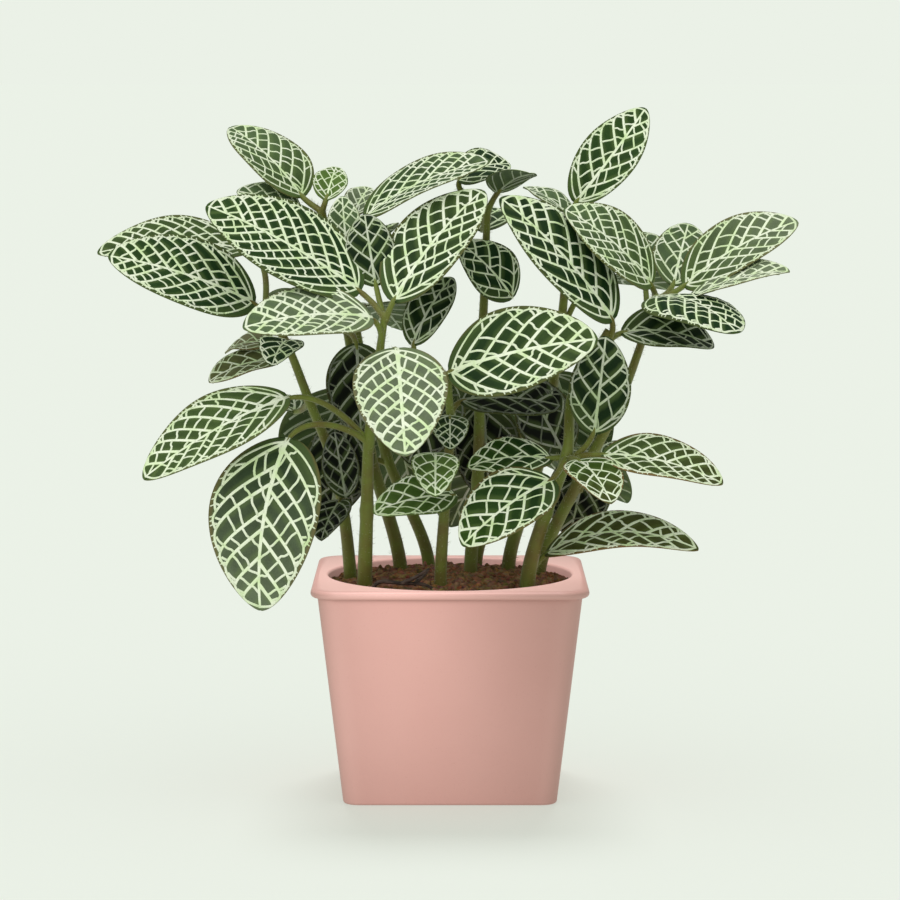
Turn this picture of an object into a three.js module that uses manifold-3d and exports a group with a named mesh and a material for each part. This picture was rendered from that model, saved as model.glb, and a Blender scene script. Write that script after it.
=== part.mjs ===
// Potted nerve plant: a bushy plant with oval, net-veined leaves in a square, tapered pot.
// Millimetres, +Z up, the plant seen from -Y. The origin is the middle of the pot's foot.

import * as THREE from 'three';
import { mergeVertices } from 'three/addons/utils/BufferGeometryUtils.js';
import Module from 'manifold-3d';

const wasm = await Module();
wasm.setup();

// ---------------------------------------------------------------- driving dimensions

// Pot: a square tapered body under an overhanging square rim, with a round bore.
const POT_HEIGHT = 92;
const RIM_SIDE = 116;
const RIM_THICKNESS = 3.5;
const RIM_CORNER = 12;
const RIM_FILLET = 0.2;
const BODY_TOP_SIDE = 110;
const BODY_FOOT_SIDE = 90;
const BODY_CORNER = 7;
const FOOT_BEVEL = 1.2;
const MOUTH_DIAMETER = 104;
const BORE_FLOOR_DIAMETER = 78;
const BORE_FLOOR_CORNER = 3;
const FLOOR_THICKNESS = 6;
const MOUTH_ROUNDING = 1.2;
const FOOT_RECESS_OUTER_DIAMETER = 66;
const FOOT_RECESS_INNER_DIAMETER = 32;
const FOOT_RECESS_DEPTH = 2;
const DRAIN_DIAMETER = 8;
const DRAIN_CIRCLE_DIAMETER = 49;
const DRAIN_COUNT = 4;
const CUTTER_OVERRUN = 5;
const BORE_SEGMENTS = 36;
const RECESS_SEGMENTS = 24;
const DRAIN_SEGMENTS = 10;

// Soil: it fills the bore to just under the rim, and is a little higher in the middle.
const SOIL_GAP = 0.3;
const SOIL_EDGE_HEIGHT = 88.5;
const SOIL_CROWN = 2.2;
const SOIL_SHOULDER = 2.5;
const CRUMB_HEIGHT = 0.9;

// Stems and petioles
const ROOT_DEPTH = 24;
const STEM_HOLE_GAP = 0.35;
const STEM_TIP_RADIUS = 1.5;
const STEM_STEP = 20;
const STEM_SIDES = 6;
const PETIOLE_RADIUS = 1.5;
const PETIOLE_END_RADIUS = 1.1;
const PETIOLE_SUNK_IN_BLADE = 4;
const PETIOLE_STAGGER = 0.55;
const PETIOLE_STEPS = 3;
const PETIOLE_SIDES = 3;

// Leaf blades: one oval form, scaled to each leaf's own length and width.
const BLADE_THICKNESS = 0.9;
const VEIN_SWEEP = 0.8;
const MIDRIB_VALLEY = 1.1;
const EDGE_WAVE = 0.7;
const PLEAT = 0.35;
const SMALL_LEAF_WIDTH = 34;
const TINY_LEAF_WIDTH = 24;
const BLADE_ROWS = 7;
const SMALL_BLADE_ROWS = 6;
const BLADE_COLUMNS = [-1, -0.55, 0, 0.55, 1];
const TINY_BLADE_COLUMNS = [-1, 0, 1];

const COLOURS = {
  pot: 0xddac9f,
  soil: 0x5c402e,
  youngLeaf: 0x7f9a4a,
  leaf: 0x3f6a3a,
  shadeLeaf: 0x2f5232,
  runner: 0x3a3029,
};

// ---------------------------------------------------------------- the stems and their leaves

// Each stem is a path of points above the soil, from its foot up; a leaf grows at one of them.
// A leaf is: the point it grows at, where its blade begins and ends, its width, the way that its
// upper face looks, and how far the blade arches, sways to its left and lifts its edges.
const leaf = (at, base, tip, width, face, arch, sway, lift) => (
  { at, base, tip, width, face, arch, sway, lift }
);

const STEMS = [
  {
    name: 'stem_front_left',
    radius: 3.6,
    colour: COLOURS.leaf,
    path: [[-36, -20, 94], [-35, -24, 122], [-34, -26, 152], [-31, -28, 177], [-27, -30, 206]],
    leaves: [
      leaf(2, [-67, -34, 171], [-127, -48, 138], 38, [-0.3, -0.6, 0.75], 4, 0, 2),
      leaf(2, [-67, -44, 155], [-78, -62, 85], 46, [-0.1, -0.97, 0.25], 4, -4, 2),
      leaf(3, [-22, -42, 192], [-18, -82, 151], 39, [0, -0.7, 0.7], 4, 0, 2),
      leaf(3, [-32, -34, 204], [-85, -54, 201], 34, [0.1, -0.55, 0.8], 4, 0, 2),
      leaf(4, [-37, -24, 214], [-102, -20, 250], 42, [0.3, -0.7, 0.6], 4, 0, 2),
      leaf(4, [-24, -30, 210], [14, -8, 256], 38, [-0.45, -0.75, 0.5], 4, 0, 2),
      leaf(4, [-31, -20, 216], [-36, -8, 246], 22, [-0.1, -0.9, 0.4], 2, 0, 1),
    ],
  },
  {
    name: 'stem_front_middle',
    radius: 3,
    colour: COLOURS.shadeLeaf,
    path: [[-4, -24, 94], [-2, -28, 127], [0, -28, 156], [-1, -28, 181]],
    leaves: [
      leaf(1, [3, -30, 129], [-32, -40, 123], 26, [0, -0.55, 0.85], 3, 0, 1),
      leaf(1, [-6, -40, 148], [-6, -68, 133], 20, [0, -0.45, 0.9], 3, 0, 1),
      leaf(2, [0, -32, 163], [0, -46, 150], 16, [0, -0.6, 0.8], 2, 0, 1),
      leaf(2, [4, -18, 168], [47, -12, 165], 26, [0, -0.6, 0.8], 3, 0, 1),
      leaf(3, [-1, -34, 181], [61, -48, 196], 42, [-0.1, -0.8, 0.6], 4, 0, 2),
      leaf(3, [-16, -18, 191], [1, -2, 219], 20, [-0.3, -0.8, 0.5], 3, 0, 1),
    ],
  },
  {
    name: 'stem_front_right',
    radius: 3.6,
    colour: COLOURS.leaf,
    path: [
      [33, -24, 94], [40, -28, 121], [49, -28, 146], [51, -20, 168], [59, -14, 185], [67, -12, 197],
    ],
    leaves: [
      leaf(0, [40, -20, 103], [104, -36, 107], 30, [0, -0.45, 0.9], 10, 0, 1),
      leaf(2, [43, -26, 144], [7, -30, 141], 24, [0, -0.55, 0.85], 3, 0, 1),
      leaf(2, [43, -40, 137], [5, -62, 112], 34, [-0.1, -0.65, 0.75], 4, 0, 2),
      leaf(2, [53, -38, 145], [66, -66, 130], 24, [0.1, -0.45, 0.85], 3, 0, 1),
      leaf(2, [63, -36, 147], [113, -48, 136], 30, [0.1, -0.5, 0.85], 4, 0, 2),
      leaf(2, [60, -34, 155], [65, -30, 196], 26, [0, -1, 0.1], 3, 0, 2),
      leaf(5, [69, -14, 201], [21, -14, 253], 42, [0.56, -0.63, 0.55], 4, 0, 2),
      leaf(5, [72, -10, 196], [112, -8, 190], 30, [0, -0.5, 0.85], 4, 0, 2),
    ],
  },
  {
    name: 'stem_left',
    radius: 3,
    colour: COLOURS.leaf,
    path: [[-43, 2, 94], [-49, 2, 136], [-60, 0, 166], [-70, -4, 192], [-78, -8, 205]],
    leaves: [
      leaf(1, [-44, -14, 126], [-49, -8, 154], 16, [0, -1, 0], 2, 0, 1),
      leaf(1, [-46, -10, 125], [-54, -30, 110], 18, [-0.3, -0.6, 0.7], 2, 0, 1),
      leaf(2, [-66, 12, 160], [-104, 46, 158], 36, [-0.1, 0.1, 1], 4, 0, 2),
      leaf(3, [-74, 8, 183], [-103, 2, 174], 22, [0, -0.4, 0.9], 3, 0, 1),
      leaf(3, [-76, 14, 189], [-97, 24, 185], 20, [0, -0.4, 0.9], 3, 0, 1),
      leaf(3, [-68, -14, 193], [-74, -36, 184], 19, [0, -0.5, 0.85], 3, 0, 1),
      leaf(4, [-82, -9, 208], [-143, -22, 229], 40, [0.2, -0.7, 0.7], 4, 0, 2),
      leaf(4, [-86, 12, 230], [-150, 2, 229], 38, [0, -0.45, 0.9], 4, 0, 2),
    ],
  },
  {
    name: 'stem_back_left',
    radius: 3.2,
    colour: COLOURS.youngLeaf,
    path: [[-22, 26, 94], [-35, 24, 142], [-45, 20, 199], [-52, 14, 235], [-55, 12, 247]],
    leaves: [
      leaf(4, [-63, 16, 252], [-95, 34, 282], 34, [0.5, -0.6, 0.6], 3, 0, 2),
      leaf(4, [-53, 10, 251], [-49, 24, 265], 15, [0, -0.75, 0.65], 1, 0, 1),
      leaf(3, [-44, 4, 230], [-46, 8, 253], 15, [0, -1, 0.2], 1, 0, 1),
      leaf(3, [-42, 22, 244], [-35, 34, 256], 14, [0, -0.6, 0.8], 1, 0, 1),
      leaf(3, [-37, 6, 244], [17, 4, 268], 38, [-0.35, -0.38, 0.9], 4, 0, 2),
      leaf(4, [-63, 12, 244], [-91, 10, 255], 26, [0, -0.45, 0.9], 2, 0, 1),
      leaf(3, [-58, 28, 235], [-90, 70, 233], 34, [-0.1, 0.4, 0.9], 4, 0, 2),
      leaf(3, [-48, 30, 229], [-30, 76, 233], 36, [0, 0.3, 0.95], 4, 0, 2),
      leaf(2, [-40, 12, 190], [-38, 4, 150], 28, [0, -0.97, 0.25], 3, 0, 1),
      leaf(1, [-43, 17, 158], [-52, 12, 114], 30, [-0.1, -0.97, 0.2], 3, 0, 1),
    ],
  },
  {
    name: 'stem_middle',
    radius: 3.2,
    colour: COLOURS.shadeLeaf,
    path: [[9, 14, 94], [12, 18, 130], [13, 20, 173], [15, 20, 216], [16, 20, 247]],
    leaves: [
      leaf(4, [3, 24, 259], [26, 30, 266], 26, [0, -0.5, 0.85], 3, 0, 1),
      leaf(4, [20, 16, 254], [34, -2, 263], 22, [-0.1, 0.35, 0.9], 2, 0, 1),
      leaf(3, [27, 12, 209], [4, 12, 233], 26, [0.3, -0.8, 0.5], 3, 0, 1),
      leaf(4, [14, 30, 237], [0, 80, 243], 36, [0, 0.3, 0.95], 4, 0, 2),
      leaf(2, [0, 14, 176], [-18, 10, 138], 30, [-0.1, -0.95, 0.3], 3, 0, 1),
      leaf(1, [14, 27, 164], [17, 29, 120], 30, [0.1, -0.97, 0.2], 3, 0, 1),
    ],
  },
  {
    name: 'stem_right',
    radius: 3.2,
    colour: COLOURS.leaf,
    path: [[39, 12, 94], [56, 14, 131], [73, 12, 165], [84, 10, 196], [88, 8, 209]],
    leaves: [
      leaf(4, [86, 0, 215], [48, -6, 248], 36, [0.5, -0.6, 0.6], 4, 0, 2),
      leaf(4, [96, 18, 214], [104, 42, 240], 24, [0, -0.75, 0.65], 2, 0, 1),
      leaf(4, [100, 14, 214], [149, 14, 242], 38, [-0.4, -0.55, 0.75], 4, 0, 2),
      leaf(4, [100, 0, 208], [143, -14, 222], 34, [-0.1, -0.25, 0.95], 4, 0, 2),
      leaf(4, [87, -4, 211], [119, -40, 198], 42, [0.35, -0.5, 0.8], 5, 0, -4),
      leaf(1, [66, 22, 138], [104, 52, 136], 34, [0.1, 0.1, 1], 4, 0, 2),
      leaf(3, [92, 22, 200], [118, 56, 200], 34, [0.1, 0.2, 1], 4, 0, 2),
      leaf(3, [84, 32, 219], [78, 58, 235], 28, [0, -0.5, 0.85], 3, 0, 1),
      leaf(1, [60, 22, 142], [52, 26, 104], 28, [0, -0.97, 0.2], 3, 0, 1),
      leaf(1, [50, 20, 140], [30, 17, 176], 26, [0, -0.95, 0.3], 3, 0, 1),
    ],
  },
  {
    name: 'stem_back_right',
    radius: 3.2,
    colour: COLOURS.youngLeaf,
    path: [[26, 32, 94], [39, 34, 137], [48, 32, 194], [52, 30, 243]],
    leaves: [
      leaf(3, [54, 30, 249], [85, 40, 290], 27, [-0.35, -0.85, 0.3], 3, -2, 2),
      leaf(3, [52, 26, 243], [32, 36, 256], 24, [0.55, -0.3, 0.8], 2, 0, 1),
      leaf(2, [60, 38, 213], [98, 76, 209], 36, [0.1, 0.4, 0.9], 4, 0, 2),
      leaf(3, [48, 40, 237], [42, 86, 241], 34, [0, 0.3, 0.95], 4, 0, 2),
    ],
  },
  {
    name: 'stem_rear_left',
    radius: 3,
    colour: COLOURS.leaf,
    path: [[-10, 44, 94], [-28, 50, 137], [-38, 52, 177], [-42, 52, 199]],
    leaves: [
      leaf(3, [-50, 54, 203], [-80, 84, 197], 36, [-0.2, 0.5, 0.85], 4, 0, 2),
      leaf(3, [-38, 60, 203], [-22, 106, 189], 38, [0.1, 0.4, 0.9], 4, 0, 2),
      leaf(2, [-46, 54, 167], [-66, 82, 116], 40, [-0.3, 0.85, 0.4], 4, 0, 2),
      leaf(2, [-28, 60, 167], [-16, 80, 110], 40, [0.1, 0.93, 0.35], 4, 0, 2),
      leaf(1, [-40, 48, 135], [-86, 62, 115], 36, [-0.3, 0.4, 0.85], 4, 0, 2),
    ],
  },
  {
    name: 'stem_rear_right',
    radius: 3,
    colour: COLOURS.leaf,
    path: [[12, 44, 94], [28, 50, 137], [36, 54, 177]],
    leaves: [
      leaf(2, [46, 60, 174], [60, 86, 122], 40, [0.3, 0.85, 0.4], 4, 0, 2),
      leaf(2, [26, 64, 174], [18, 92, 120], 40, [0, 0.9, 0.4], 4, 0, 2),
      leaf(1, [38, 54, 139], [80, 78, 113], 38, [0.3, 0.5, 0.8], 4, 0, 2),
      leaf(1, [20, 60, 137], [0, 86, 101], 38, [-0.2, 0.8, 0.5], 4, 0, 2),
    ],
  },
];

// The dead runner and its two forks lie over the soil at the front left, ends in the soil.
const RUNNER_RADIUS = 0.9;
const RUNNER_PATHS = [
  [[-34, -34, 87], [-30, -36, 93], [-20, -38, 93], [-10, -37, 92], [-2, -36, 86]],
  [[-20, -38, 93], [-14, -40, 96], [-10, -43, 99]],
  [[-15, -37.5, 92.5], [-11, -34, 96], [-9, -31, 98]],
];

// ---------------------------------------------------------------- solids and booleans

const vector = (point) => new THREE.Vector3(...point);

function solidFrom(geometry) {
  const bare = geometry.clone();
  bare.deleteAttribute('normal');
  bare.deleteAttribute('uv');
  const merged = mergeVertices(bare, 1e-5);
  const mesh = new wasm.Mesh({
    numProp: 3,
    vertProperties: new Float32Array(merged.attributes.position.array),
    triVerts: new Uint32Array(merged.index.array),
  });
  return new wasm.Manifold(mesh);
}

function geometryFrom(solid) {
  const mesh = solid.getMesh();
  const geometry = new THREE.BufferGeometry();
  geometry.setAttribute('position', new THREE.BufferAttribute(mesh.vertProperties, 3));
  geometry.setIndex(new THREE.BufferAttribute(mesh.triVerts, 1));
  return geometry;
}

// Fusing may seal a hollow or leave a scrap: only the largest body is kept.
function largestPiece(solid) {
  return solid.decompose().sort((a, b) => b.volume() - a.volume())[0];
}

function closedGeometry(points, triangles) {
  const geometry = new THREE.BufferGeometry();
  geometry.setFromPoints(points);
  geometry.setIndex(triangles);
  return geometry;
}

// Rings of equal length joined side by side, with a fan over the first and the last ring.
function ringsGeometry(rings) {
  const points = rings.flat();
  const count = rings[0].length;
  const triangles = [];
  for (let ring = 0; ring + 1 < rings.length; ring += 1) {
    for (let side = 0; side < count; side += 1) {
      const a = ring * count + side;
      const b = ring * count + ((side + 1) % count);
      triangles.push(a, b, b + count, a, b + count, a + count);
    }
  }
  const last = (rings.length - 1) * count;
  const firstMiddle = points.length;
  const lastMiddle = firstMiddle + 1;
  const middleOf = (ring) => {
    const sum = ring.reduce((total, point) => total.add(point), new THREE.Vector3());
    return sum.divideScalar(count);
  };
  points.push(middleOf(rings[0]), middleOf(rings.at(-1)));
  for (let side = 0; side < count; side += 1) {
    const next = (side + 1) % count;
    triangles.push(firstMiddle, next, side, lastMiddle, last + side, last + next);
  }
  return closedGeometry(points, triangles);
}

// A round tube along a curve, its radius changing evenly from one end to the other.
function tubeGeometry(curve, startRadius, endRadius, steps, sides) {
  const frames = curve.computeFrenetFrames(steps, false);
  const rings = [];
  for (let step = 0; step <= steps; step += 1) {
    const middle = curve.getPointAt(step / steps);
    const radius = THREE.MathUtils.lerp(startRadius, endRadius, step / steps);
    const ring = [];
    for (let side = 0; side < sides; side += 1) {
      const angle = (2 * Math.PI * side) / sides;
      const across = frames.normals[step].clone().multiplyScalar(radius * Math.cos(angle));
      const along = frames.binormals[step].clone().multiplyScalar(radius * Math.sin(angle));
      ring.push(middle.clone().add(across).add(along));
    }
    rings.push(ring);
  }
  return ringsGeometry(rings);
}

// ---------------------------------------------------------------- pot

// The corners are arcs; every ring has the same number of points, so that rings join up.
function roundedSquareRing(side, corner, height) {
  const arcSteps = 4;
  const centre = side / 2 - corner;
  const ring = [];
  for (let quarter = 0; quarter < 4; quarter += 1) {
    const middle = Math.PI / 4 + (quarter * Math.PI) / 2;
    const x = centre * Math.SQRT2 * Math.cos(middle);
    const y = centre * Math.SQRT2 * Math.sin(middle);
    for (let step = 0; step <= arcSteps; step += 1) {
      const angle = middle - Math.PI / 4 + (step / arcSteps) * (Math.PI / 2);
      ring.push(new THREE.Vector3(x + corner * Math.cos(angle), y + corner * Math.sin(angle), height));
    }
  }
  return ring;
}

function turned(profile, segments) {
  const points = profile.map(([radius, height]) => new THREE.Vector2(radius, height));
  return new THREE.LatheGeometry(points, segments).rotateX(Math.PI / 2);
}

function makePot() {
  const underRim = POT_HEIGHT - RIM_THICKNESS;
  const rings = [
    roundedSquareRing(BODY_FOOT_SIDE - 2 * FOOT_BEVEL, BODY_CORNER - FOOT_BEVEL, 0),
    roundedSquareRing(BODY_FOOT_SIDE, BODY_CORNER, FOOT_BEVEL),
    roundedSquareRing(BODY_TOP_SIDE, BODY_CORNER, underRim),
  ];
  const roundingSteps = 4;
  const bullnose = RIM_THICKNESS / 2;
  for (let step = 0; step <= roundingSteps; step += 1) {
    const angle = -Math.PI / 2 + (step / roundingSteps) * Math.PI;
    const inset = bullnose * (1 - Math.cos(angle));
    const height = underRim + bullnose * (1 + Math.sin(angle));
    const side = Math.max(RIM_SIDE - 2 * inset, BODY_TOP_SIDE);
    const fillet = step === 0 ? RIM_FILLET : 0;
    rings.push(roundedSquareRing(side, RIM_CORNER - inset, height + fillet));
  }
  const boreProfile = [
    [0, FLOOR_THICKNESS],
    [BORE_FLOOR_DIAMETER / 2 - BORE_FLOOR_CORNER, FLOOR_THICKNESS],
    [BORE_FLOOR_DIAMETER / 2, FLOOR_THICKNESS + BORE_FLOOR_CORNER],
    [MOUTH_DIAMETER / 2, POT_HEIGHT - MOUTH_ROUNDING],
    [MOUTH_DIAMETER / 2 + MOUTH_ROUNDING, POT_HEIGHT],
    [MOUTH_DIAMETER / 2 + MOUTH_ROUNDING, POT_HEIGHT + CUTTER_OVERRUN],
    [0, POT_HEIGHT + CUTTER_OVERRUN],
  ];
  const outer = FOOT_RECESS_OUTER_DIAMETER / 2;
  const inner = FOOT_RECESS_INNER_DIAMETER / 2;
  const recessProfile = [
    [inner, -CUTTER_OVERRUN],
    [outer, -CUTTER_OVERRUN],
    [outer, 0],
    [outer - FOOT_RECESS_DEPTH, FOOT_RECESS_DEPTH],
    [inner + FOOT_RECESS_DEPTH, FOOT_RECESS_DEPTH],
    [inner, 0],
    [inner, -CUTTER_OVERRUN],
  ];
  let pot = solidFrom(ringsGeometry(rings))
    .subtract(solidFrom(turned(boreProfile, BORE_SEGMENTS)))
    .subtract(solidFrom(turned(recessProfile, RECESS_SEGMENTS)));
  const drainRadius = DRAIN_DIAMETER / 2;
  const drain = new THREE.CylinderGeometry(drainRadius, drainRadius, 3 * FLOOR_THICKNESS, DRAIN_SEGMENTS);
  drain.rotateX(Math.PI / 2).translate(DRAIN_CIRCLE_DIAMETER / 2, 0, 0);
  for (let hole = 0; hole < DRAIN_COUNT; hole += 1) {
    const angle = (2 * Math.PI * (hole + 0.5)) / DRAIN_COUNT;
    pot = pot.subtract(solidFrom(drain.clone().rotateZ(angle)));
  }
  return pot;
}

// ---------------------------------------------------------------- soil

// The crumbs are two crossed waves, so the surface is uneven in the same way each time.
function soilHeight(x, y) {
  const radius = Math.hypot(x, y);
  const crown = SOIL_CROWN * (1 - (radius / (MOUTH_DIAMETER / 2)) ** 2);
  const wave = Math.sin(0.55 * x + 1.3 * Math.sin(0.21 * y));
  const crossWave = Math.cos(0.49 * y + 0.9 * Math.sin(0.3 * x));
  return SOIL_EDGE_HEIGHT + crown + CRUMB_HEIGHT * wave * crossWave;
}

function makeSoil() {
  const segments = 24;
  const steps = 4;
  const foot = FLOOR_THICKNESS + BORE_FLOOR_CORNER;
  const slope = (MOUTH_DIAMETER - BORE_FLOOR_DIAMETER) / 2 / (POT_HEIGHT - MOUTH_ROUNDING - foot);
  const floor = FLOOR_THICKNESS + SOIL_GAP;
  const shoulder = SOIL_EDGE_HEIGHT - SOIL_SHOULDER;
  const radiusAt = (z) => BORE_FLOOR_DIAMETER / 2 - 1.5 * SOIL_GAP + slope * (z - foot);
  const circle = (radius, height) => Array.from({ length: segments }, (_, k) => {
    const angle = (2 * Math.PI * k) / segments;
    const x = radius * Math.cos(angle);
    const y = radius * Math.sin(angle);
    return new THREE.Vector3(x, y, height ?? soilHeight(x, y));
  });
  const lowSide = floor + BORE_FLOOR_CORNER;
  const rings = [
    circle(radiusAt(lowSide) - BORE_FLOOR_CORNER, floor),
    circle(radiusAt(lowSide), lowSide),
    circle(radiusAt(shoulder), shoulder),
  ];
  for (let step = steps; step > 0; step -= 1) {
    rings.push(circle((radiusAt(shoulder) * step) / steps));
  }
  return solidFrom(ringsGeometry(rings));
}

// ---------------------------------------------------------------- leafy stems

function stemCurve(path) {
  const foot = vector(path[0]);
  const root = foot.clone().setZ(foot.z - ROOT_DEPTH);
  return new THREE.CatmullRomCurve3([root, ...path.map(vector)], false, 'centripetal');
}

const stemTube = (stem, gap) => {
  const curve = stemCurve(stem.path);
  const steps = Math.round(curve.getLength() / STEM_STEP);
  return tubeGeometry(curve, stem.radius + gap, STEM_TIP_RADIUS + gap, steps, STEM_SIDES);
};

// Half the blade's width at s, from 0 at its base to 1 at its tip: a blunt-tipped oval that is
// widest a little below its middle.
const halfWidth = (s) => Math.sin(Math.PI * s ** 0.85) ** 0.6;

// The blade's frame: d runs from base to tip, n is the way the upper face looks, e is its left.
function bladeFrame(blade) {
  const base = vector(blade.base);
  const d = vector(blade.tip).sub(base);
  const length = d.length();
  d.normalize();
  const n = vector(blade.face);
  n.addScaledVector(d, -n.dot(d)).normalize();
  const e = new THREE.Vector3().crossVectors(n, d);
  return { base, length, d, n, e };
}

// A point of the upper face. u runs from base to tip along the midrib and t from one edge, -1,
// to the other, 1. A line of equal u sweeps forward towards the edge, as the side veins do, and
// the face is pleated along those lines, sunk at the midrib, and waved towards its edge.
function bladePoint(blade, frame, u, t, pleat) {
  const side = Math.abs(t);
  const s = u + VEIN_SWEEP * side ** 1.2 * u * (1 - u);
  const half = (blade.width / 2) * halfWidth(s);
  const fullness = halfWidth(s);
  const hump = 4 * s * (1 - s);
  const across = t * half + blade.sway * hump;
  const rise = blade.arch * hump
    + fullness * (MIDRIB_VALLEY * Math.sin(Math.PI * side * 0.8) + blade.lift * side ** 2)
    + fullness * (EDGE_WAVE * side ** 3 * Math.sin(7 * s + blade.width + 2 * t) + pleat * side);
  return frame.base.clone()
    .addScaledVector(frame.d, frame.length * s)
    .addScaledVector(frame.e, across)
    .addScaledVector(frame.n, rise);
}

function bladeGeometry(blade) {
  const frame = bladeFrame(blade);
  const places = blade.width <= TINY_LEAF_WIDTH ? TINY_BLADE_COLUMNS : BLADE_COLUMNS;
  const columns = places.length;
  const rowCount = blade.width <= SMALL_LEAF_WIDTH ? SMALL_BLADE_ROWS : BLADE_ROWS;
  const upper = [bladePoint(blade, frame, 0, 0, 0)];
  for (let row = 1; row < rowCount; row += 1) {
    const u = (1 - Math.cos((Math.PI * row) / rowCount)) / 2;
    const pleat = row % 2 === 0 ? -PLEAT : PLEAT;
    upper.push(...places.map((t) => bladePoint(blade, frame, u, t, pleat)));
  }
  upper.push(bladePoint(blade, frame, 1, 0, 0));
  const count = upper.length;
  const lower = upper.map((p) => p.clone().addScaledVector(frame.n, -BLADE_THICKNESS));
  const face = [];
  const at = (row, column) => 1 + (row - 1) * columns + column;
  for (let column = 0; column + 1 < columns; column += 1) {
    face.push([0, at(1, column), at(1, column + 1)]);
    for (let row = 1; row + 1 < rowCount; row += 1) {
      const [a, b] = [at(row, column), at(row, column + 1)];
      const [c, d] = [at(row + 1, column), at(row + 1, column + 1)];
      face.push([a, c, d], [a, d, b]);
    }
    face.push([at(rowCount - 1, column), count - 1, at(rowCount - 1, column + 1)]);
  }
  const triangles = [];
  face.forEach(([a, b, c]) => triangles.push(a, b, c, a + count, c + count, b + count));
  const rows = Array.from({ length: rowCount - 1 }, (_, k) => k + 1);
  const rightEdge = rows.map((row) => at(row, 0));
  const leftEdge = rows.map((row) => at(row, columns - 1)).reverse();
  const rim = [0, ...rightEdge, count - 1, ...leftEdge];
  rim.forEach((a, k) => {
    const b = rim[(k + 1) % rim.length];
    triangles.push(a, a + count, b + count, a, b + count, b);
  });
  return closedGeometry([...upper, ...lower], triangles);
}

// The petiole leaves the stem upwards and outwards, each from a little lower than the one before,
// and runs into the blade along the midrib's first stretch.
function petioleGeometry(stem, blade) {
  const frame = bladeFrame(blade);
  const start = vector(stem.path[blade.at]);
  start.z -= PETIOLE_STAGGER * (2 + stem.leaves.indexOf(blade));
  const reach = start.distanceTo(frame.base);
  const outwards = frame.base.clone().sub(start).setZ(0);
  const intoBlade = frame.d.clone()
    .multiplyScalar(frame.length)
    .addScaledVector(frame.n, 4 * blade.arch)
    .addScaledVector(frame.e, 4 * blade.sway)
    .normalize();
  const end = frame.base.clone()
    .addScaledVector(intoBlade, PETIOLE_SUNK_IN_BLADE)
    .addScaledVector(frame.n, -BLADE_THICKNESS / 2);
  const curve = new THREE.CubicBezierCurve3(
    start,
    start.clone().addScaledVector(outwards, 0.2).add(new THREE.Vector3(0, 0, reach * 0.2)),
    frame.base.clone().addScaledVector(intoBlade, -reach * 0.35),
    end,
  );
  return tubeGeometry(curve, PETIOLE_RADIUS, PETIOLE_END_RADIUS, PETIOLE_STEPS, PETIOLE_SIDES);
}

function makeLeafyStem(stem) {
  const pieces = [solidFrom(stemTube(stem, 0))];
  stem.leaves.forEach((blade) => {
    pieces.push(solidFrom(petioleGeometry(stem, blade)));
    pieces.push(solidFrom(bladeGeometry(blade)));
  });
  return largestPiece(pieces.reduce((whole, piece) => whole.add(piece)));
}

// ---------------------------------------------------------------- runner

const runnerTube = (path, gap) => {
  const curve = new THREE.CatmullRomCurve3(path.map(vector));
  return solidFrom(tubeGeometry(curve, RUNNER_RADIUS + gap, 0.6 * RUNNER_RADIUS + gap, 5, 4));
};

const makeRunner = (gap) => RUNNER_PATHS
  .map((path) => runnerTube(path, gap))
  .reduce((whole, piece) => whole.add(piece));

// ---------------------------------------------------------------- the plant in its pot

function namedMesh(name, solid, colour, roughness) {
  const material = new THREE.MeshStandardMaterial({ color: colour, roughness, metalness: 0 });
  const mesh = new THREE.Mesh(geometryFrom(solid), material);
  mesh.name = name;
  return mesh;
}

const plant = new THREE.Group();
plant.add(namedMesh('pot', makePot(), COLOURS.pot, 0.55));

let soil = makeSoil().subtract(makeRunner(STEM_HOLE_GAP));
STEMS.forEach((stem) => {
  soil = soil.subtract(solidFrom(stemTube(stem, STEM_HOLE_GAP)));
});
plant.add(namedMesh('soil', soil, COLOURS.soil, 0.95));
plant.add(namedMesh('dry_runner', makeRunner(0), COLOURS.runner, 0.9));
STEMS.forEach((stem) => {
  plant.add(namedMesh(stem.name, makeLeafyStem(stem), stem.colour, 0.6));
});

export default plant;
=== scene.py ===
"""A potted nerve plant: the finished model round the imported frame. Metres, +Z up, seen from -Y."""

import math

import bpy
import numpy as np
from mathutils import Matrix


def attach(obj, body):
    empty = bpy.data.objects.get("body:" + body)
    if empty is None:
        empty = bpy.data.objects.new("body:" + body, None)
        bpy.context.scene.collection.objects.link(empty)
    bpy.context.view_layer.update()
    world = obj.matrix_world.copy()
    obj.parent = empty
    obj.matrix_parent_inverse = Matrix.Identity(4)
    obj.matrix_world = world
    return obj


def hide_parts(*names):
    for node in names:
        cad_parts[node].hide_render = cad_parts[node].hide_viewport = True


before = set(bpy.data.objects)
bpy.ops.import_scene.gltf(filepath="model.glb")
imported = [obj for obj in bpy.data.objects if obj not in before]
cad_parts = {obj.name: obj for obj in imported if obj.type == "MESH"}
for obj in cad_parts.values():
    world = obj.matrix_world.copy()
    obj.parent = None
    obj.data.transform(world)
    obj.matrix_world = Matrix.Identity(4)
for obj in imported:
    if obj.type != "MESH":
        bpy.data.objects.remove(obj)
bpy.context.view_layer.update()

# ------------------------ camera
# It stands a metre and a half in front of the pot and looks slightly down on it, as someone
# sitting at the same table would see the plant.

CAMERA_DISTANCE = 1.5
CAMERA_ELEVATION = math.radians(6)
AIM_HEIGHT = 0.145
LENS = 140.5
SENSOR_WIDTH = 36


def add_object(name, data):
    """An object of the scene that shows the given mesh, light or camera."""
    made = bpy.data.objects.new(name, data)
    bpy.context.scene.collection.objects.link(made)
    return made


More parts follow.
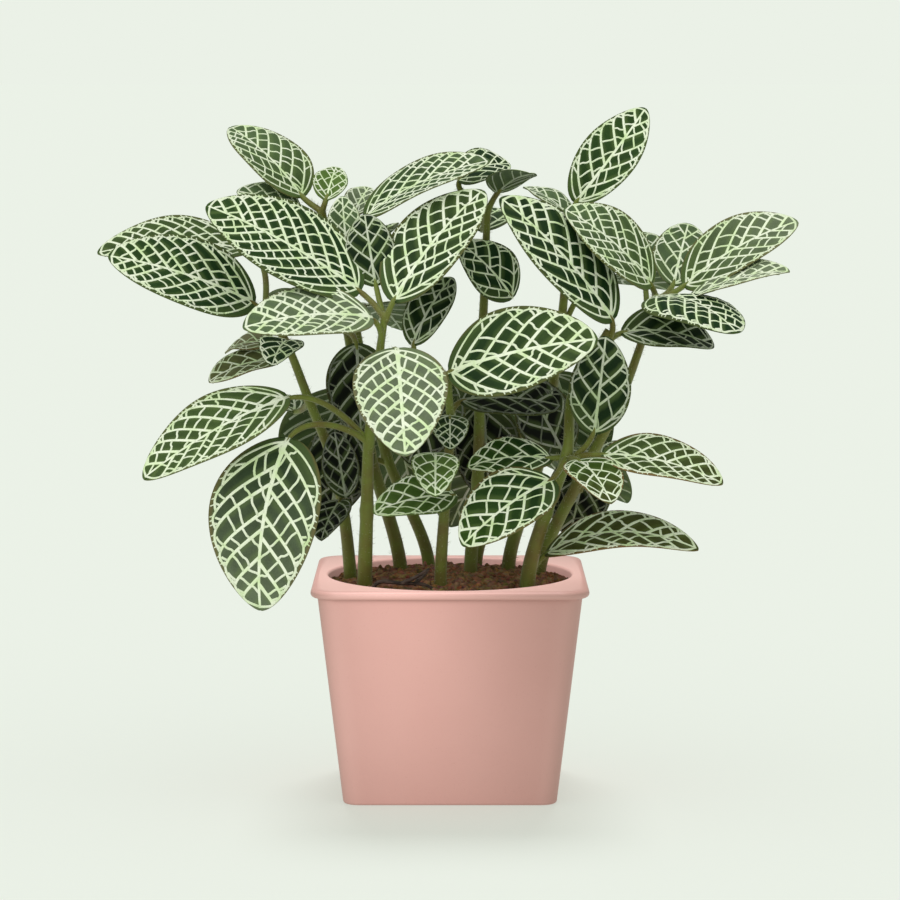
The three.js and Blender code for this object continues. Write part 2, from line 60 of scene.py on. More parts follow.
camera_data = bpy.data.cameras.new("camera")
camera_data.lens = LENS
camera_data.sensor_width = SENSOR_WIDTH
camera = add_object("camera", camera_data)
camera.location = (
    0,
    -CAMERA_DISTANCE * math.cos(CAMERA_ELEVATION),
    AIM_HEIGHT + CAMERA_DISTANCE * math.sin(CAMERA_ELEVATION),
)
camera.rotation_euler = (math.pi / 2 - CAMERA_ELEVATION, 0, 0)
bpy.context.scene.camera = camera

# ------------------------ floor and light
# A plain pale floor runs out to a wall of the same colour, and glows a little, which keeps its
# shadows light. A wide soft light falls from the upper left in front, and the pale room fills in
# the rest.

FLOOR_SIZE = 600
FLOOR_COLOUR = (243, 246, 241)
FLOOR_GLOW = 0.5
FLOOR_ROUGHNESS = 0.9
ROOM_COLOUR = (235, 241, 231)
ROOM_LIGHT = 0.65
WINDOW_STRENGTH = 1.42
WINDOW_ELEVATION = 60
WINDOW_ANGLE = 80
WINDOW_TURN = -35


def add_light(name, kind, power, **settings):
    """A light of the scene, with its power and its other settings."""
    light = bpy.data.lights.new(name, kind)
    light.energy = power
    for setting, value in settings.items():
        setattr(light, setting, value)
    return add_object(name, light)


def colour(red, green, blue):
    """A colour given as it looks on a screen, 0 to 255, in the linear values that a shader takes."""
    screen = np.array([red, green, blue]) / 255
    linear = np.where(screen <= 0.04045, screen / 12.92, ((screen + 0.055) / 1.055) ** 2.4)
    return (*linear, 1.0)


def add_node(tree, kind, sources=None, **values):
    """A shader node with its settings and socket values. Sources are sockets to link from, or
    values, by the name or number of the socket they go to."""
    made = tree.nodes.new("ShaderNode" + kind)
    for name, value in values.items():
        label = name.replace("_", " ")
        if label in made.inputs:
            made.inputs[label].default_value = value
        else:
            setattr(made, name, value)
    for name, source in (sources or {}).items():
        if isinstance(source, bpy.types.NodeSocket):
            tree.links.new(source, made.inputs[name])
        else:
            made.inputs[name].default_value = source
    return made


def set_values(node, **values):
    """Sets plain values of a node's sockets."""
    for name, value in values.items():
        node.inputs[name.replace("_", " ")].default_value = value


floor_mesh = bpy.data.meshes.new("floor")
half = FLOOR_SIZE / 2
floor_corners = [(-half, -half, 0), (half, -half, 0), (half, half, 0), (-half, half, 0)]
floor_mesh.from_pydata(floor_corners, [], [(0, 1, 2, 3)])
floor = add_object("floor", floor_mesh)
floor_material = bpy.data.materials.new("floor")
floor_material.use_nodes = True
floor_dull = (1 - FLOOR_GLOW) * np.array(colour(*FLOOR_COLOUR)[:3])
set_values(
    floor_material.node_tree.nodes["Principled BSDF"],
    Base_Color=(*floor_dull, 1),
    Emission_Color=colour(*ROOM_COLOUR),
    Emission_Strength=FLOOR_GLOW,
    Roughness=FLOOR_ROUGHNESS,
    Specular_IOR_Level=0,
)
floor_mesh.materials.append(floor_material)

window = add_light("window", "SUN", WINDOW_STRENGTH, angle=math.radians(WINDOW_ANGLE))
window.rotation_euler = (math.radians(90 - WINDOW_ELEVATION), 0, math.radians(WINDOW_TURN))

world = bpy.data.worlds.new("room")
world.use_nodes = True
bpy.context.scene.world = world
room = world.node_tree
lighting = room.nodes["Background"]
set_values(lighting, Color=colour(*ROOM_COLOUR), Strength=ROOM_LIGHT)
seen = add_node(room, "Background", Color=colour(*ROOM_COLOUR), Strength=1)
by_camera = add_node(room, "LightPath").outputs["Is Camera Ray"]
mixed = add_node(room, "MixShader", {0: by_camera, 1: lighting.outputs[0], 2: seen.outputs[0]})
room.links.new(mixed.outputs[0], room.nodes["World Output"].inputs["Surface"])
bpy.context.scene.view_settings.view_transform = "Standard"

# ------------------------ pot
# A square pot that narrows downwards, cast and fired in one piece, with a matt pink glaze. A
# rounded rim lies round its top, its mouth is round, and four holes in its foot drain it.

MM = 0.001
POT_HEIGHT = 92 * MM
RIM_SIDE = 116 * MM
RIM_THICKNESS = 3.5 * MM
RIM_CORNER = 12 * MM
BODY_TOP_SIDE = 110 * MM
BODY_FOOT_SIDE = 90 * MM
BODY_CORNER = 7 * MM
FOOT_BEVEL = 1.2 * MM
MOUTH_RADIUS = 52 * MM
BORE_FLOOR_RADIUS = 39 * MM
FLOOR_THICKNESS = 6 * MM
MOUTH_ROUNDING = 1.2 * MM
RECESS_RADII = (16 * MM, 33 * MM)
RECESS_DEPTH = 2 * MM
RECESS_ROUNDING = 0.4 * MM
BORE_FLOOR_ROUNDING = 3 * MM
DRAIN_RADIUS = 4 * MM
DRAIN_CIRCLE_RADIUS = 24.5 * MM
DRILL_OVERRUN = 2 * MM
HUB_RADIUS = 2 * MM
HALFWAY_RADIUS = 20 * MM
SHARP_FROM = math.radians(40)
POT_SIDES = 432
DRILL_SIDES = 48
POT_PINK = (195, 147, 139)
# A paler glaze, for thin glaze with a painted highlight on the rim's edges, the mouth's lip and the
# corners, and for painted light on the rim's flat top.
PALE_GLAZE_AND_PAINTED_LIGHT = (226, 184, 176)
GLAZE_SPECK = (168, 120, 111)
BULLNOSE_THIN_GLAZE_AND_HIGHLIGHT = 0.3
PAINTED_LIGHT_ON_RIM_TOP = 0.8
LIP_THIN_GLAZE_AND_HIGHLIGHT = 0.5
RIM_THIN_GLAZE_AND_LIGHT = 0.7
CORNER_THIN_GLAZE_AND_HIGHLIGHT = 0.15
CORNER_FROM = 1.27
CORNER_SPAN = 0.1
LAMP_PLACE = (-0.052, -0.165, 0.1)
LAMP_TARGET = (-0.015, -0.05, 0.045)
LAMP_WIDTH = 0.04
LAMP_HEIGHT = 0.16
LAMP_SPREAD = 68
LAMP_POWER = 0.034
TOP_LAMP_PLACE = (-0.02, 0, 0.34)
TOP_LAMP_TARGET = (0, 0, 0.095)
TOP_LAMP_POWER = 0.14
BACK_LIGHT_STRENGTH = 1.56
BACK_LIGHT_ELEVATION = 52
BACK_LIGHT_ANGLE = 30


def around(count):
    """Evenly spaced angles of one full turn."""
    return np.linspace(0, 2 * np.pi, count, endpoint=False)


def xyz(*coordinates):
    """Points from their coordinates, each spread to the shape of them all."""
    return np.stack(np.broadcast_arrays(*coordinates), axis=-1)


def skin(rings, **marks):
    """Rings of points joined into closed skins. Each ring meets the next in four-sided faces, and
    a fan of triangles round its middle closes the first and the last ring. Marks are values for
    each point, and each middle takes its ring's mean."""
    rings = np.asarray(rings, dtype=float)
    rings = rings.reshape((-1,) + rings.shape[-3:])
    stacks, rows, count = rings.shape[:3]

    def laid_out(values):
        """Values of the rings in the order of the points."""
        ends = values[:, [0, -1]].mean(axis=2)
        middle = values.reshape((stacks, rows * count) + values.shape[3:])
        return np.concatenate([middle, ends], axis=1).reshape((-1,) + values.shape[3:])

    here = np.arange(count)
    after = np.roll(here, -1)
    row = count * np.arange(rows - 1)[:, None]
    walls = np.stack([row + here, row + after, row + after + count, row + here + count], axis=-1)
    last = count * (rows - 1)
    first_middle = np.full(count, rows * count)
    start = np.stack([first_middle, after, here], axis=-1)
    end = np.stack([first_middle + 1, last + here, last + after], axis=-1)
    shift = ((rows * count + 2) * np.arange(stacks))[:, None, None]
    faces = [
        (walls.reshape(1, -1, 4) + shift).reshape(-1, 4),
        (np.concatenate([start, end])[None] + shift).reshape(-1, 3),
    ]
    kept = {}
    for name, values in marks.items():
        values = np.asarray(values, dtype=float)
        extra = (3,) if values.ndim and values.shape[-1] == 3 and values.ndim in (1, 4) else ()
        kept[name] = laid_out(np.broadcast_to(values, (stacks, rows, count) + extra))
    return {"points": laid_out(rings), "faces": faces, "marks": kept}


def add_piece(name, skins, material, nodes=()):
    """One smooth object made of skins, with their marks as attributes, in place of CAD nodes."""
    points = np.concatenate([each["points"] for each in skins])
    starts = np.cumsum([0] + [len(each["points"]) for each in skins])
    faces = [face + start for each, start in zip(skins, starts) for face in each["faces"]]
    corners = np.concatenate([face.ravel() for face in faces])
    sizes = np.concatenate([np.full(len(face), face.shape[1]) for face in faces])
    mesh = bpy.data.meshes.new(name)
    mesh.vertices.add(len(points))
    mesh.vertices.foreach_set("co", points.ravel())
    mesh.loops.add(len(corners))
    mesh.loops.foreach_set("vertex_index", corners)
    mesh.polygons.add(len(sizes))
    mesh.polygons.foreach_set("loop_start", np.cumsum(sizes) - sizes)
    mesh.update(calc_edges=True)
    mesh.validate()
    mesh.shade_smooth()
    for mark in skins[0]["marks"]:
        values = np.concatenate([each["marks"][mark] for each in skins])
        kind, field = ("FLOAT_VECTOR", "vector") if values.ndim == 2 else ("FLOAT", "value")
        mesh.attributes.new(mark, kind, "POINT").data.foreach_set(field, values.ravel())
    mesh.materials.append(material)
    piece = add_object(name, mesh)
    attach(piece, "root")
    if nodes:
        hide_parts(*nodes)
    return piece


def square_reach(angle, side, corner):
    """How far a square with round corners reaches from its middle at an angle: the flat side's
    distance over the cosine, or in a corner the far meeting point of the ray and the arc."""
    cosine = np.maximum(np.abs(np.cos(angle)), np.abs(np.sin(angle)))
    sine = np.minimum(np.abs(np.cos(angle)), np.abs(np.sin(angle)))
    middle = side / 2 - corner
    flat = side / 2 / cosine
    inside = np.maximum(corner**2 - middle**2 * (cosine - sine) ** 2, 0)
    arc = middle * (cosine + sine) + np.sqrt(inside)
    return np.where(sine * side / 2 <= cosine * middle, flat, arc)


def pot_rings(angle):
    """The pot's skin as rings at rising places of its section: under the foot from the middle out, up the
    four sides, round the rim and back down the bore to the middle of its floor. A ring is a blend of a
    square and a circle. Its last value says how much paler the glaze is there: thin glaze with a painted
    highlight on the rim's edge and the mouth's lip, and painted light on the rim's flat top."""
    rings = []

    def ring(height, side=0.0, corner=0.0, radius=0.0, round_part=0.0, pale=0.0):
        square = square_reach(angle, side, corner) if side else 0
        rings.append(((1 - round_part) * square + round_part * radius, height, pale))

    inner, outer = RECESS_RADII
    for radius, height in [
        (HUB_RADIUS, 0),
        (inner - RECESS_ROUNDING, 0),
        (inner, RECESS_ROUNDING / 2),
        (inner + RECESS_DEPTH, RECESS_DEPTH),
        (outer - RECESS_DEPTH, RECESS_DEPTH),
        (outer, RECESS_ROUNDING / 2),
        (outer + RECESS_ROUNDING, 0),
    ]:
        ring(height, radius=radius, round_part=1)
    for turn in np.linspace(0, np.pi / 2, 5):
        inset = FOOT_BEVEL * (1 - np.sin(turn))
        side = BODY_FOOT_SIDE - 2 * inset
        ring(FOOT_BEVEL * (1 - np.cos(turn)), side, BODY_CORNER - inset)
    under_rim = POT_HEIGHT - RIM_THICKNESS
    for part in np.linspace(0, 1, 26)[1:]:
        side = BODY_FOOT_SIDE + part * (BODY_TOP_SIDE - BODY_FOOT_SIDE)
        ring(FOOT_BEVEL + part * (under_rim - FOOT_BEVEL), side, BODY_CORNER)
    bullnose = RIM_THICKNESS / 2
    for turn in np.linspace(-np.pi / 2, np.pi / 2, 15):
        inset = bullnose * (1 - np.cos(turn))
        height = under_rim + bullnose * (1 + np.sin(turn))
        ring(height, RIM_SIDE - 2 * inset, RIM_CORNER - inset, pale=BULLNOSE_THIN_GLAZE_AND_HIGHLIGHT * np.cos(turn))
    flat_side = RIM_SIDE - 2 * bullnose
    lip = MOUTH_RADIUS + MOUTH_ROUNDING
    # The rim's flat top is painted paler, as painted light.
    for part in np.linspace(0, 1, 7)[1:]:
        ring(POT_HEIGHT, flat_side, RIM_CORNER - bullnose, lip, part, pale=PAINTED_LIGHT_ON_RIM_TOP)
    for turn in np.linspace(0, np.pi / 2, 6)[1:]:
        drop = MOUTH_ROUNDING * (1 - np.cos(turn))
        radius = lip - MOUTH_ROUNDING * np.sin(turn)
        ring(POT_HEIGHT - drop, radius=radius, round_part=1, pale=LIP_THIN_GLAZE_AND_HIGHLIGHT)
    for part in np.linspace(0, 1, 14)[1:]:
        radius = MOUTH_RADIUS + part * (BORE_FLOOR_RADIUS - MOUTH_RADIUS)
        top = POT_HEIGHT - MOUTH_ROUNDING
        ring(top + part * (FLOOR_THICKNESS + BORE_FLOOR_ROUNDING - top), radius=radius, round_part=1)
    for radius in (BORE_FLOOR_RADIUS - BORE_FLOOR_ROUNDING, HALFWAY_RADIUS, HUB_RADIUS):
        ring(FLOOR_THICKNESS, radius=radius, round_part=1)
    return rings


def new_material(name):
    """A material with its node tree and shader, and the place on the object that it reads."""
    material = bpy.data.materials.new(name)
    material.use_nodes = True
    tree = material.node_tree
    return material, tree, tree.nodes["Principled BSDF"], add_node(tree, "TexCoord").outputs["Object"]


def noise(tree, place, scale, detail, **values):
    """Soft random patches: their scale per metre, and how much finer detail they hold."""
    return add_node(tree, "TexNoise", {"Vector": place}, Scale=scale, Detail=detail, **values).outputs[0]


def spread(tree, value, low, high, **values):
    """A value moved from its own range, 0 to 1 unless told otherwise, to the range low to high."""
    return add_node(tree, "MapRange", {"Value": value}, To_Min=low, To_Max=high, **values).outputs[0]


def mark(tree, name, output="Fac"):
    """A value that the points of the mesh carry."""
    return add_node(tree, "Attribute", attribute_name=name).outputs[output]


def mix(tree, amount, first, second, **values):
    """Two colours mixed, from all the first at 0 to all the second at 1."""
    sources = {0: amount, 6: first, 7: second}
    return add_node(tree, "Mix", sources, data_type="RGBA", **values).outputs[2]


def finish_shader(tree, shader, tint, height, depth, strength, **values):
    """Gives the shader its colour, its relief of a given depth and strength, and plain values."""
    tree.links.new(tint, shader.inputs["Base Color"])
    relief = add_node(tree, "Bump", {"Height": height}, Strength=strength, Distance=depth)
    tree.links.new(relief.outputs[0], shader.inputs["Normal"])
    set_values(shader, **values)


def pot_material():
    """Matt pink glaze over clay: soft blotches, pin-point speckle, a paler skin where the glaze runs thin
    on the edges and corners, with a painted highlight there, painted light on the rim's flat top, and a
    fine orange-peel relief."""
    material, tree, shader, place = new_material("pink_glaze")
    blotch = noise(tree, place, 28, 3, Roughness=0.5)
    # The glaze is paler in blotches and by the pale mark: thin glaze with a painted highlight on edges
    # and corners, and painted light on the rim's flat top.
    edge = {0: spread(tree, blotch, -0.06, 0.14), 1: mark(tree, "pale")}
    thin = add_node(tree, "Math", edge, operation="ADD")
    body = mix(tree, thin.outputs[0], colour(*POT_PINK), colour(*PALE_GLAZE_AND_PAINTED_LIGHT))
    dots = spread(tree, noise(tree, place, 1500, 2), 0, 0.22, From_Min=0.66, From_Max=0.74)
    dotted = mix(tree, dots, body, colour(*GLAZE_SPECK))
    tree.links.new(spread(tree, blotch, 0.42, 0.58), shader.inputs["Roughness"])
    peel = noise(tree, place, 900, 2)
    finish_shader(tree, shader, dotted, peel, 0.3 * MM, 0.12, Specular_IOR_Level=0.4)
    return material


turns = around(POT_SIDES)
reaches, heights, pale = zip(*pot_rings(turns))
reaches = np.array([np.broadcast_to(reach, turns.shape) for reach in reaches])
# The corners' paler glaze is thin glaze with a painted highlight; the rim's takes in painted light on its
# flat top.
corner_glaze_and_highlight = np.clip((reaches / reaches.min(axis=1, keepdims=True) - CORNER_FROM) / CORNER_SPAN, 0, 1)
pale = np.maximum(RIM_THIN_GLAZE_AND_LIGHT * np.array(pale)[:, None], CORNER_THIN_GLAZE_AND_HIGHLIGHT * corner_glaze_and_highlight)
rings = xyz(reaches * np.cos(turns), reaches * np.sin(turns), np.array(heights)[:, None])
pot = add_piece("pot_body", [skin(rings, pale=pale[None])], pot_material(), ["pot"])

# The four holes are drilled through the floor of the finished skin.
drill_turns = around(DRILL_SIDES)
drill_middles = np.pi / 4 + around(4)[:, None, None]
drill_heights = np.array([-DRILL_OVERRUN, FLOOR_THICKNESS + DRILL_OVERRUN])[None, :, None]
drill_x = DRAIN_CIRCLE_RADIUS * np.cos(drill_middles) + DRAIN_RADIUS * np.cos(drill_turns)
drill_y = DRAIN_CIRCLE_RADIUS * np.sin(drill_middles) + DRAIN_RADIUS * np.sin(drill_turns)
drills = skin(xyz(drill_x, drill_y, drill_heights))
drill_mesh = bpy.data.meshes.new("drill")
drill_faces = [list(face) for faces in drills["faces"] for face in faces.tolist()]
drill_mesh.from_pydata(drills["points"].tolist(), [], drill_faces)
drill = add_object("drill", drill_mesh)
drilling = pot.modifiers.new("drains", "BOOLEAN")
drilling.object = drill
pot.data = bpy.data.meshes.new_from_object(pot.evaluated_get(bpy.context.evaluated_depsgraph_get()))
pot.modifiers.clear()
pot.data.set_sharp_from_angle(angle=SHARP_FROM)
bpy.data.objects.remove(drill)

# Two soft lamps shine on the pot alone: a tall one at the left, which leaves its right side in
# half shade, and one above that reaches its rim past the leaves.
lit_by_lamps = bpy.data.collections.new("lit_by_lamps")
lit_by_lamps.objects.link(pot)
for name, place, target, power in (
    ("side_lamp", LAMP_PLACE, LAMP_TARGET, LAMP_POWER),
    ("top_lamp", TOP_LAMP_PLACE, TOP_LAMP_TARGET, TOP_LAMP_POWER),
):
    lamp = add_light(name, "AREA", power, shape="RECTANGLE", size=LAMP_WIDTH, size_y=LAMP_HEIGHT)
    lamp.data.spread = math.radians(LAMP_SPREAD)
    lamp.location = place
    away = np.subtract(place, target)
    tilt = math.atan2(math.hypot(*away[:2]), away[2])
    lamp.rotation_euler = (tilt, 0, math.atan2(away[0], -away[1]))
    lamp.visible_camera = False
    lamp.light_linking.receiver_collection = lit_by_lamps
    lamp.light_linking.blocker_collection = lit_by_lamps

# The window lights neither the pot nor the floor. The floor is lit from behind the pot instead,
# and only the pot shades it, so that a soft shadow lies in front of its foot.
away_from_window = bpy.data.collections.new("away_from_window")
for number, shaded in enumerate((floor, pot)):
    away_from_window.objects.link(shaded)
    away_from_window.collection_objects[number].light_linking.link_state = "EXCLUDE"
window.light_linking.receiver_collection = away_from_window
floor_only = bpy.data.collections.new("floor_only")
floor_only.objects.link(floor)
back_light = add_light("back_light", "SUN", BACK_LIGHT_STRENGTH, angle=math.radians(BACK_LIGHT_ANGLE))
back_light.rotation_euler = (math.radians(90 - BACK_LIGHT_ELEVATION), 0, math.pi)
back_light.light_linking.receiver_collection = floor_only
back_light.light_linking.blocker_collection = lit_by_lamps

# ------------------------ soil
# Dark compost fills the pot to just under its rim: a slightly domed top of fine crumbs with
# bigger lumps pressed into it, loose against the bore.

SOIL_GAP = 0.3 * MM
SOIL_EDGE_HEIGHT = 88.5 * MM
SOIL_CROWN = 2.2 * MM
SHOULDER_DROP = 2 * MM
CRUMB_HEIGHT = 0.9 * MM
SOIL_SIDES = 256
SOIL_RINGS = 84
LUMP_SEED = 3
LUMP_COUNT = 700
LUMP_RINGS = 4
LUMP_SIDES = 7
LUMP_REACH = 50 * MM
LUMP_SIZES = (0.4 * MM, 1.5 * MM)
SOIL_DARK = (98, 69, 48)
SOIL_LIGHT = (176, 130, 96)


def soil_height(x, y):
    """The top of the soil: a shallow dome and two crossed waves, as in the solid, and on them
    smaller and smaller waves in turned directions."""
    dome = SOIL_CROWN * (1 - (x**2 + y**2) / MOUTH_RADIUS**2)
    a, b = x / MM, y / MM
    waves = np.sin(0.55 * a + 1.3 * np.sin(0.21 * b)) * np.cos(0.49 * b + 0.9 * np.sin(0.3 * a))
    fine = 0
    for step in range(1, 6):
        a, b = 0.8 * a + 0.6 * b + step, 0.8 * b - 0.6 * a
        rate = 0.8 * 1.5**step
        fine = fine + np.sin(rate * a + 1.7 * np.sin(0.6 * rate * b)) * np.sin(rate * b) / (1.3 + step)
    return SOIL_EDGE_HEIGHT + dome + CRUMB_HEIGHT * (waves + 0.45 * fine)


def two_tones(tree, amount, dark, light):
    """A ramp of two stops, dark and light, each a place on the ramp and its colour."""
    ramp = add_node(tree, "ValToRGB", {"Fac": amount})
    for stop, (place, tone) in zip(ramp.color_ramp.elements, (dark, light)):
        stop.position = place
        stop.color = colour(*tone)
    return ramp.outputs[0]


def soil_material():
    """Moist compost: clods from dark to middling brown, each crumb a little different, and a
    rough, broken skin."""
    material, tree, shader, place = new_material("compost")
    crumbs = add_node(tree, "TexVoronoi", {"Vector": place}, Scale=520).outputs["Color"]
    clods = noise(tree, place, 160, 5, Roughness=0.65)
    shade = two_tones(tree, clods, (0.32, SOIL_DARK), (0.7, SOIL_LIGHT))
    grain = mix(tree, 0.35, shade, crumbs, blend_type="SOFT_LIGHT")
    finish_shader(tree, shader, grain, clods, 0.8 * MM, 0.7, Roughness=0.95, Specular_IOR_Level=0.25)
    return material


def soil_skin():
    """The soil's body as rings round the pot's middle line: its floor, its side, and its top from
    the edge to the middle."""
    turn = around(SOIL_SIDES)
    foot = FLOOR_THICKNESS + BORE_FLOOR_ROUNDING
    slope = (MOUTH_RADIUS - BORE_FLOOR_RADIUS) / (POT_HEIGHT - MOUTH_ROUNDING - foot)
    wall = BORE_FLOOR_RADIUS - 1.5 * SOIL_GAP
    top_radius = wall + slope * (SOIL_EDGE_HEIGHT - foot)
    rows = []
    for radius, height in [
        (wall - BORE_FLOOR_ROUNDING, FLOOR_THICKNESS + SOIL_GAP),
        (wall, foot + SOIL_GAP),
        (top_radius - SHOULDER_DROP * slope, SOIL_EDGE_HEIGHT - SHOULDER_DROP),
    ]:
        rows.append(xyz(radius * np.cos(turn), radius * np.sin(turn), height))
    for part in np.linspace(1, 0, SOIL_RINGS)[:-1]:
        x, y = top_radius * part * np.cos(turn), top_radius * part * np.sin(turn)
        rows.append(xyz(x, y, soil_height(x, y)))
    return skin(np.array(rows))


def lumps(random):
    """Loose crumbs: knobbly balls of four rings of seven points, stretched each its own way, and
    half sunk."""
    turn = around(LUMP_SIDES)
    tilt = np.linspace(0.35, np.pi - 0.35, LUMP_RINGS)[:, None]
    ball = xyz(np.sin(tilt) * np.cos(turn), np.sin(tilt) * np.sin(turn), -np.cos(tilt))
    where = LUMP_REACH * np.sqrt(random.random(LUMP_COUNT))
    angle = 2 * np.pi * random.random(LUMP_COUNT)
    x, y = where * np.cos(angle), where * np.sin(angle)
    smallest, largest = LUMP_SIZES
    size = smallest + (largest - smallest) * random.random(LUMP_COUNT) ** 2
    stretch = 0.7 + 0.6 * random.random((LUMP_COUNT, 1, 1, 3))
    knobs = 1 + 0.22 * (random.random((LUMP_COUNT, LUMP_RINGS, LUMP_SIDES, 1)) - 0.5)
    middle = xyz(x, y, soil_height(x, y) + 0.15 * size)
    return skin(middle[:, None, None] + size[:, None, None, None] * stretch * knobs * ball)


soil_skins = [soil_skin(), lumps(np.random.default_rng(LUMP_SEED))]
add_piece("soil_fill", soil_skins, soil_material(), ["soil"])

# ------------------------ dry runner
# A dead side shoot that lies on the soil at the front left: a thin, dark, shrivelled stem with
# two short forks, both ends in the soil.

RUNNER_RADIUS = 0.9 * MM
RUNNER_SIDES = 10
RUNNER_STEPS = 14
BARK_DARK = (38, 30, 27)
BARK_FLAKE = (106, 88, 78)
RUNNER_PATHS = [
    [(-34, -34, 87), (-30, -36, 93), (-20, -38, 93), (-10, -37, 92), (-2, -36, 86)],
    [(-20, -38, 93), (-14, -40, 96), (-10, -43, 99)],
    [(-15, -37.5, 92.5), (-11, -34, 96), (-9, -31, 98)],
]


def spline(points, steps):
    """A smooth curve through points, in metres: between two of them it is a cubic whose end slopes
    come from the points on both sides, each stretch weighed by the root of its length."""
    points = np.array(points, dtype=float)
    points = np.vstack([2 * points[0] - points[1], points, 2 * points[-1] - points[-2]])
    gaps = np.sqrt(np.linalg.norm(np.diff(points, axis=0), axis=1))[:, None]
    steep = np.diff(points, axis=0) / gaps
    slopes = steep[:-1] + steep[1:] - (points[2:] - points[:-2]) / (gaps[:-1] + gaps[1:])
    leave, arrive = slopes[:-1] * gaps[1:-1], slopes[1:] * gaps[1:-1]
    t = np.linspace(0, 1, steps, endpoint=False)[None, :, None]
    start, end = points[1:-2, None], points[2:-1, None]
    curve = (2 * t**3 - 3 * t**2 + 1) * start + (t**3 - 2 * t**2 + t) * leave[:, None]
    curve = curve + (3 * t**2 - 2 * t**3) * end + (t**3 - t**2) * arrive[:, None]
    return np.vstack([curve.reshape(-1, 3), points[-2:-1]])


def unit(vectors):
    """Vectors scaled to a length of one."""
    return vectors / np.linalg.norm(vectors, axis=-1, keepdims=True)


def tube(path, radii, sides):
    """Rings of points round a path, square to it: the middle, plus the radius times the cosine of
    the turn along one cross direction and the sine along the other."""
    ahead = unit(np.gradient(path, axis=0))
    least = np.eye(3)[np.argmin(np.abs(ahead).max(axis=0))]
    across = unit(np.cross(ahead, least))
    up = np.cross(ahead, across)
    turn = around(sides)[:, None]
    spokes = np.cos(turn) * across[:, None] + np.sin(turn) * up[:, None]
    return path[:, None] + np.broadcast_to(radii, (len(path), sides))[..., None] * spokes


def runner_material():
    """Dead, dry bark: dark brown with paler flakes along it."""
    material, tree, shader, place = new_material("dead_shoot")
    streak = add_node(tree, "Mapping", {"Vector": place}, Scale=(0.35, 1, 1))
    bark = noise(tree, streak.outputs[0], 900, 4)
    shade = two_tones(tree, bark, (0.35, BARK_DARK), (0.72, BARK_FLAKE))
    finish_shader(tree, shader, shade, bark, 0.3 * MM, 0.6, Roughness=0.85)
    return material


runner_skins = []
for points in RUNNER_PATHS:
    middle = spline(np.array(points) * MM, RUNNER_STEPS)
    along = np.linspace(0, 1, len(middle))[:, None]
    ridge = 1 + 0.16 * np.sin(5 * around(RUNNER_SIDES) + 9 * along)
    knots = 1 + 0.25 * np.exp(-((np.sin(9 * along) / 0.25) ** 2))
    radii = RUNNER_RADIUS * (1 - 0.4 * along) * ridge * knots
    runner_skins.append(skin(tube(middle, radii, RUNNER_SIDES)))
add_piece("runner_stem", runner_skins, runner_material(), ["dry_runner"])

# ------------------------ shoots
# Ten soft green stems root in the soil. Each thickens a little where its leaves grow, and each
# leaf hangs on a slim stalk. Short pale hairs stand on both.

PETIOLE_RADIUS = 1.5 * MM
PETIOLE_END_RADIUS = 1.1 * MM
PETIOLE_STAGGER = 0.55 * MM
PETIOLE_SUNK_IN_BLADE = 4 * MM
STEM_TIP_RADIUS = 1.5 * MM
STEM_STEPS = 12
STEM_SIDES = 14
PETIOLE_STEPS = 18
PETIOLE_SIDES = 10
PETIOLE_TAPER_FROM = 0.86
KNOT_REACH = 2.4 * MM
KNOT_SWELLING = 0.16
ROOT_DEPTH = 24 * MM
BLADE_THICKNESS = 0.9 * MM
HAIR_LENGTH = 1.3 * MM
HAIR_RADIUS = 0.07 * MM
HAIR_LEAN = 0.35
HAIR_SEED = 40
STEM_HAIRS = 420
PETIOLE_HAIRS = 46
STEM_BROWNISH = (104, 98, 28)
STEM_GREEN = (110, 124, 34)
HAIR_PALE = (176, 182, 132)


def leaf(at, base, tip, width, face, tone, tip_tone=None, net=1.0, arch=4, sway=0, lift=None):
    """A leaf, given in millimetres: the point of the stem it grows at, where its blade begins and
    ends, its width, the way that its upper face looks, its tones at the base and the tip, how wide
    its net's meshes are, with 1 for the widest, and how far the blade arches, sways to its left
    and lifts its edges. Unless told otherwise, the edges of a well arched blade lift by 2 and those
    of others by 1. Its frame runs along the blade, up from its face and to its left."""
    if lift is None:
        lift = 2 if arch > 3 else 1
    base, tip = np.array(base) * MM, np.array(tip) * MM
    along = unit(tip - base)
    up = np.array(face, dtype=float)
    up = unit(up - np.dot(up, along) * along)
    return {
        "at": at,
        "base": base,
        "length": np.linalg.norm(tip - base),
        "width": width * MM,
        "along": along,
        "up": up,
        "left": np.cross(up, along),
        "arch": arch * MM,
        "sway": sway * MM,
        "lift": lift * MM,
        "tones": (tone, tip_tone or tone),
        "net": net,
    }


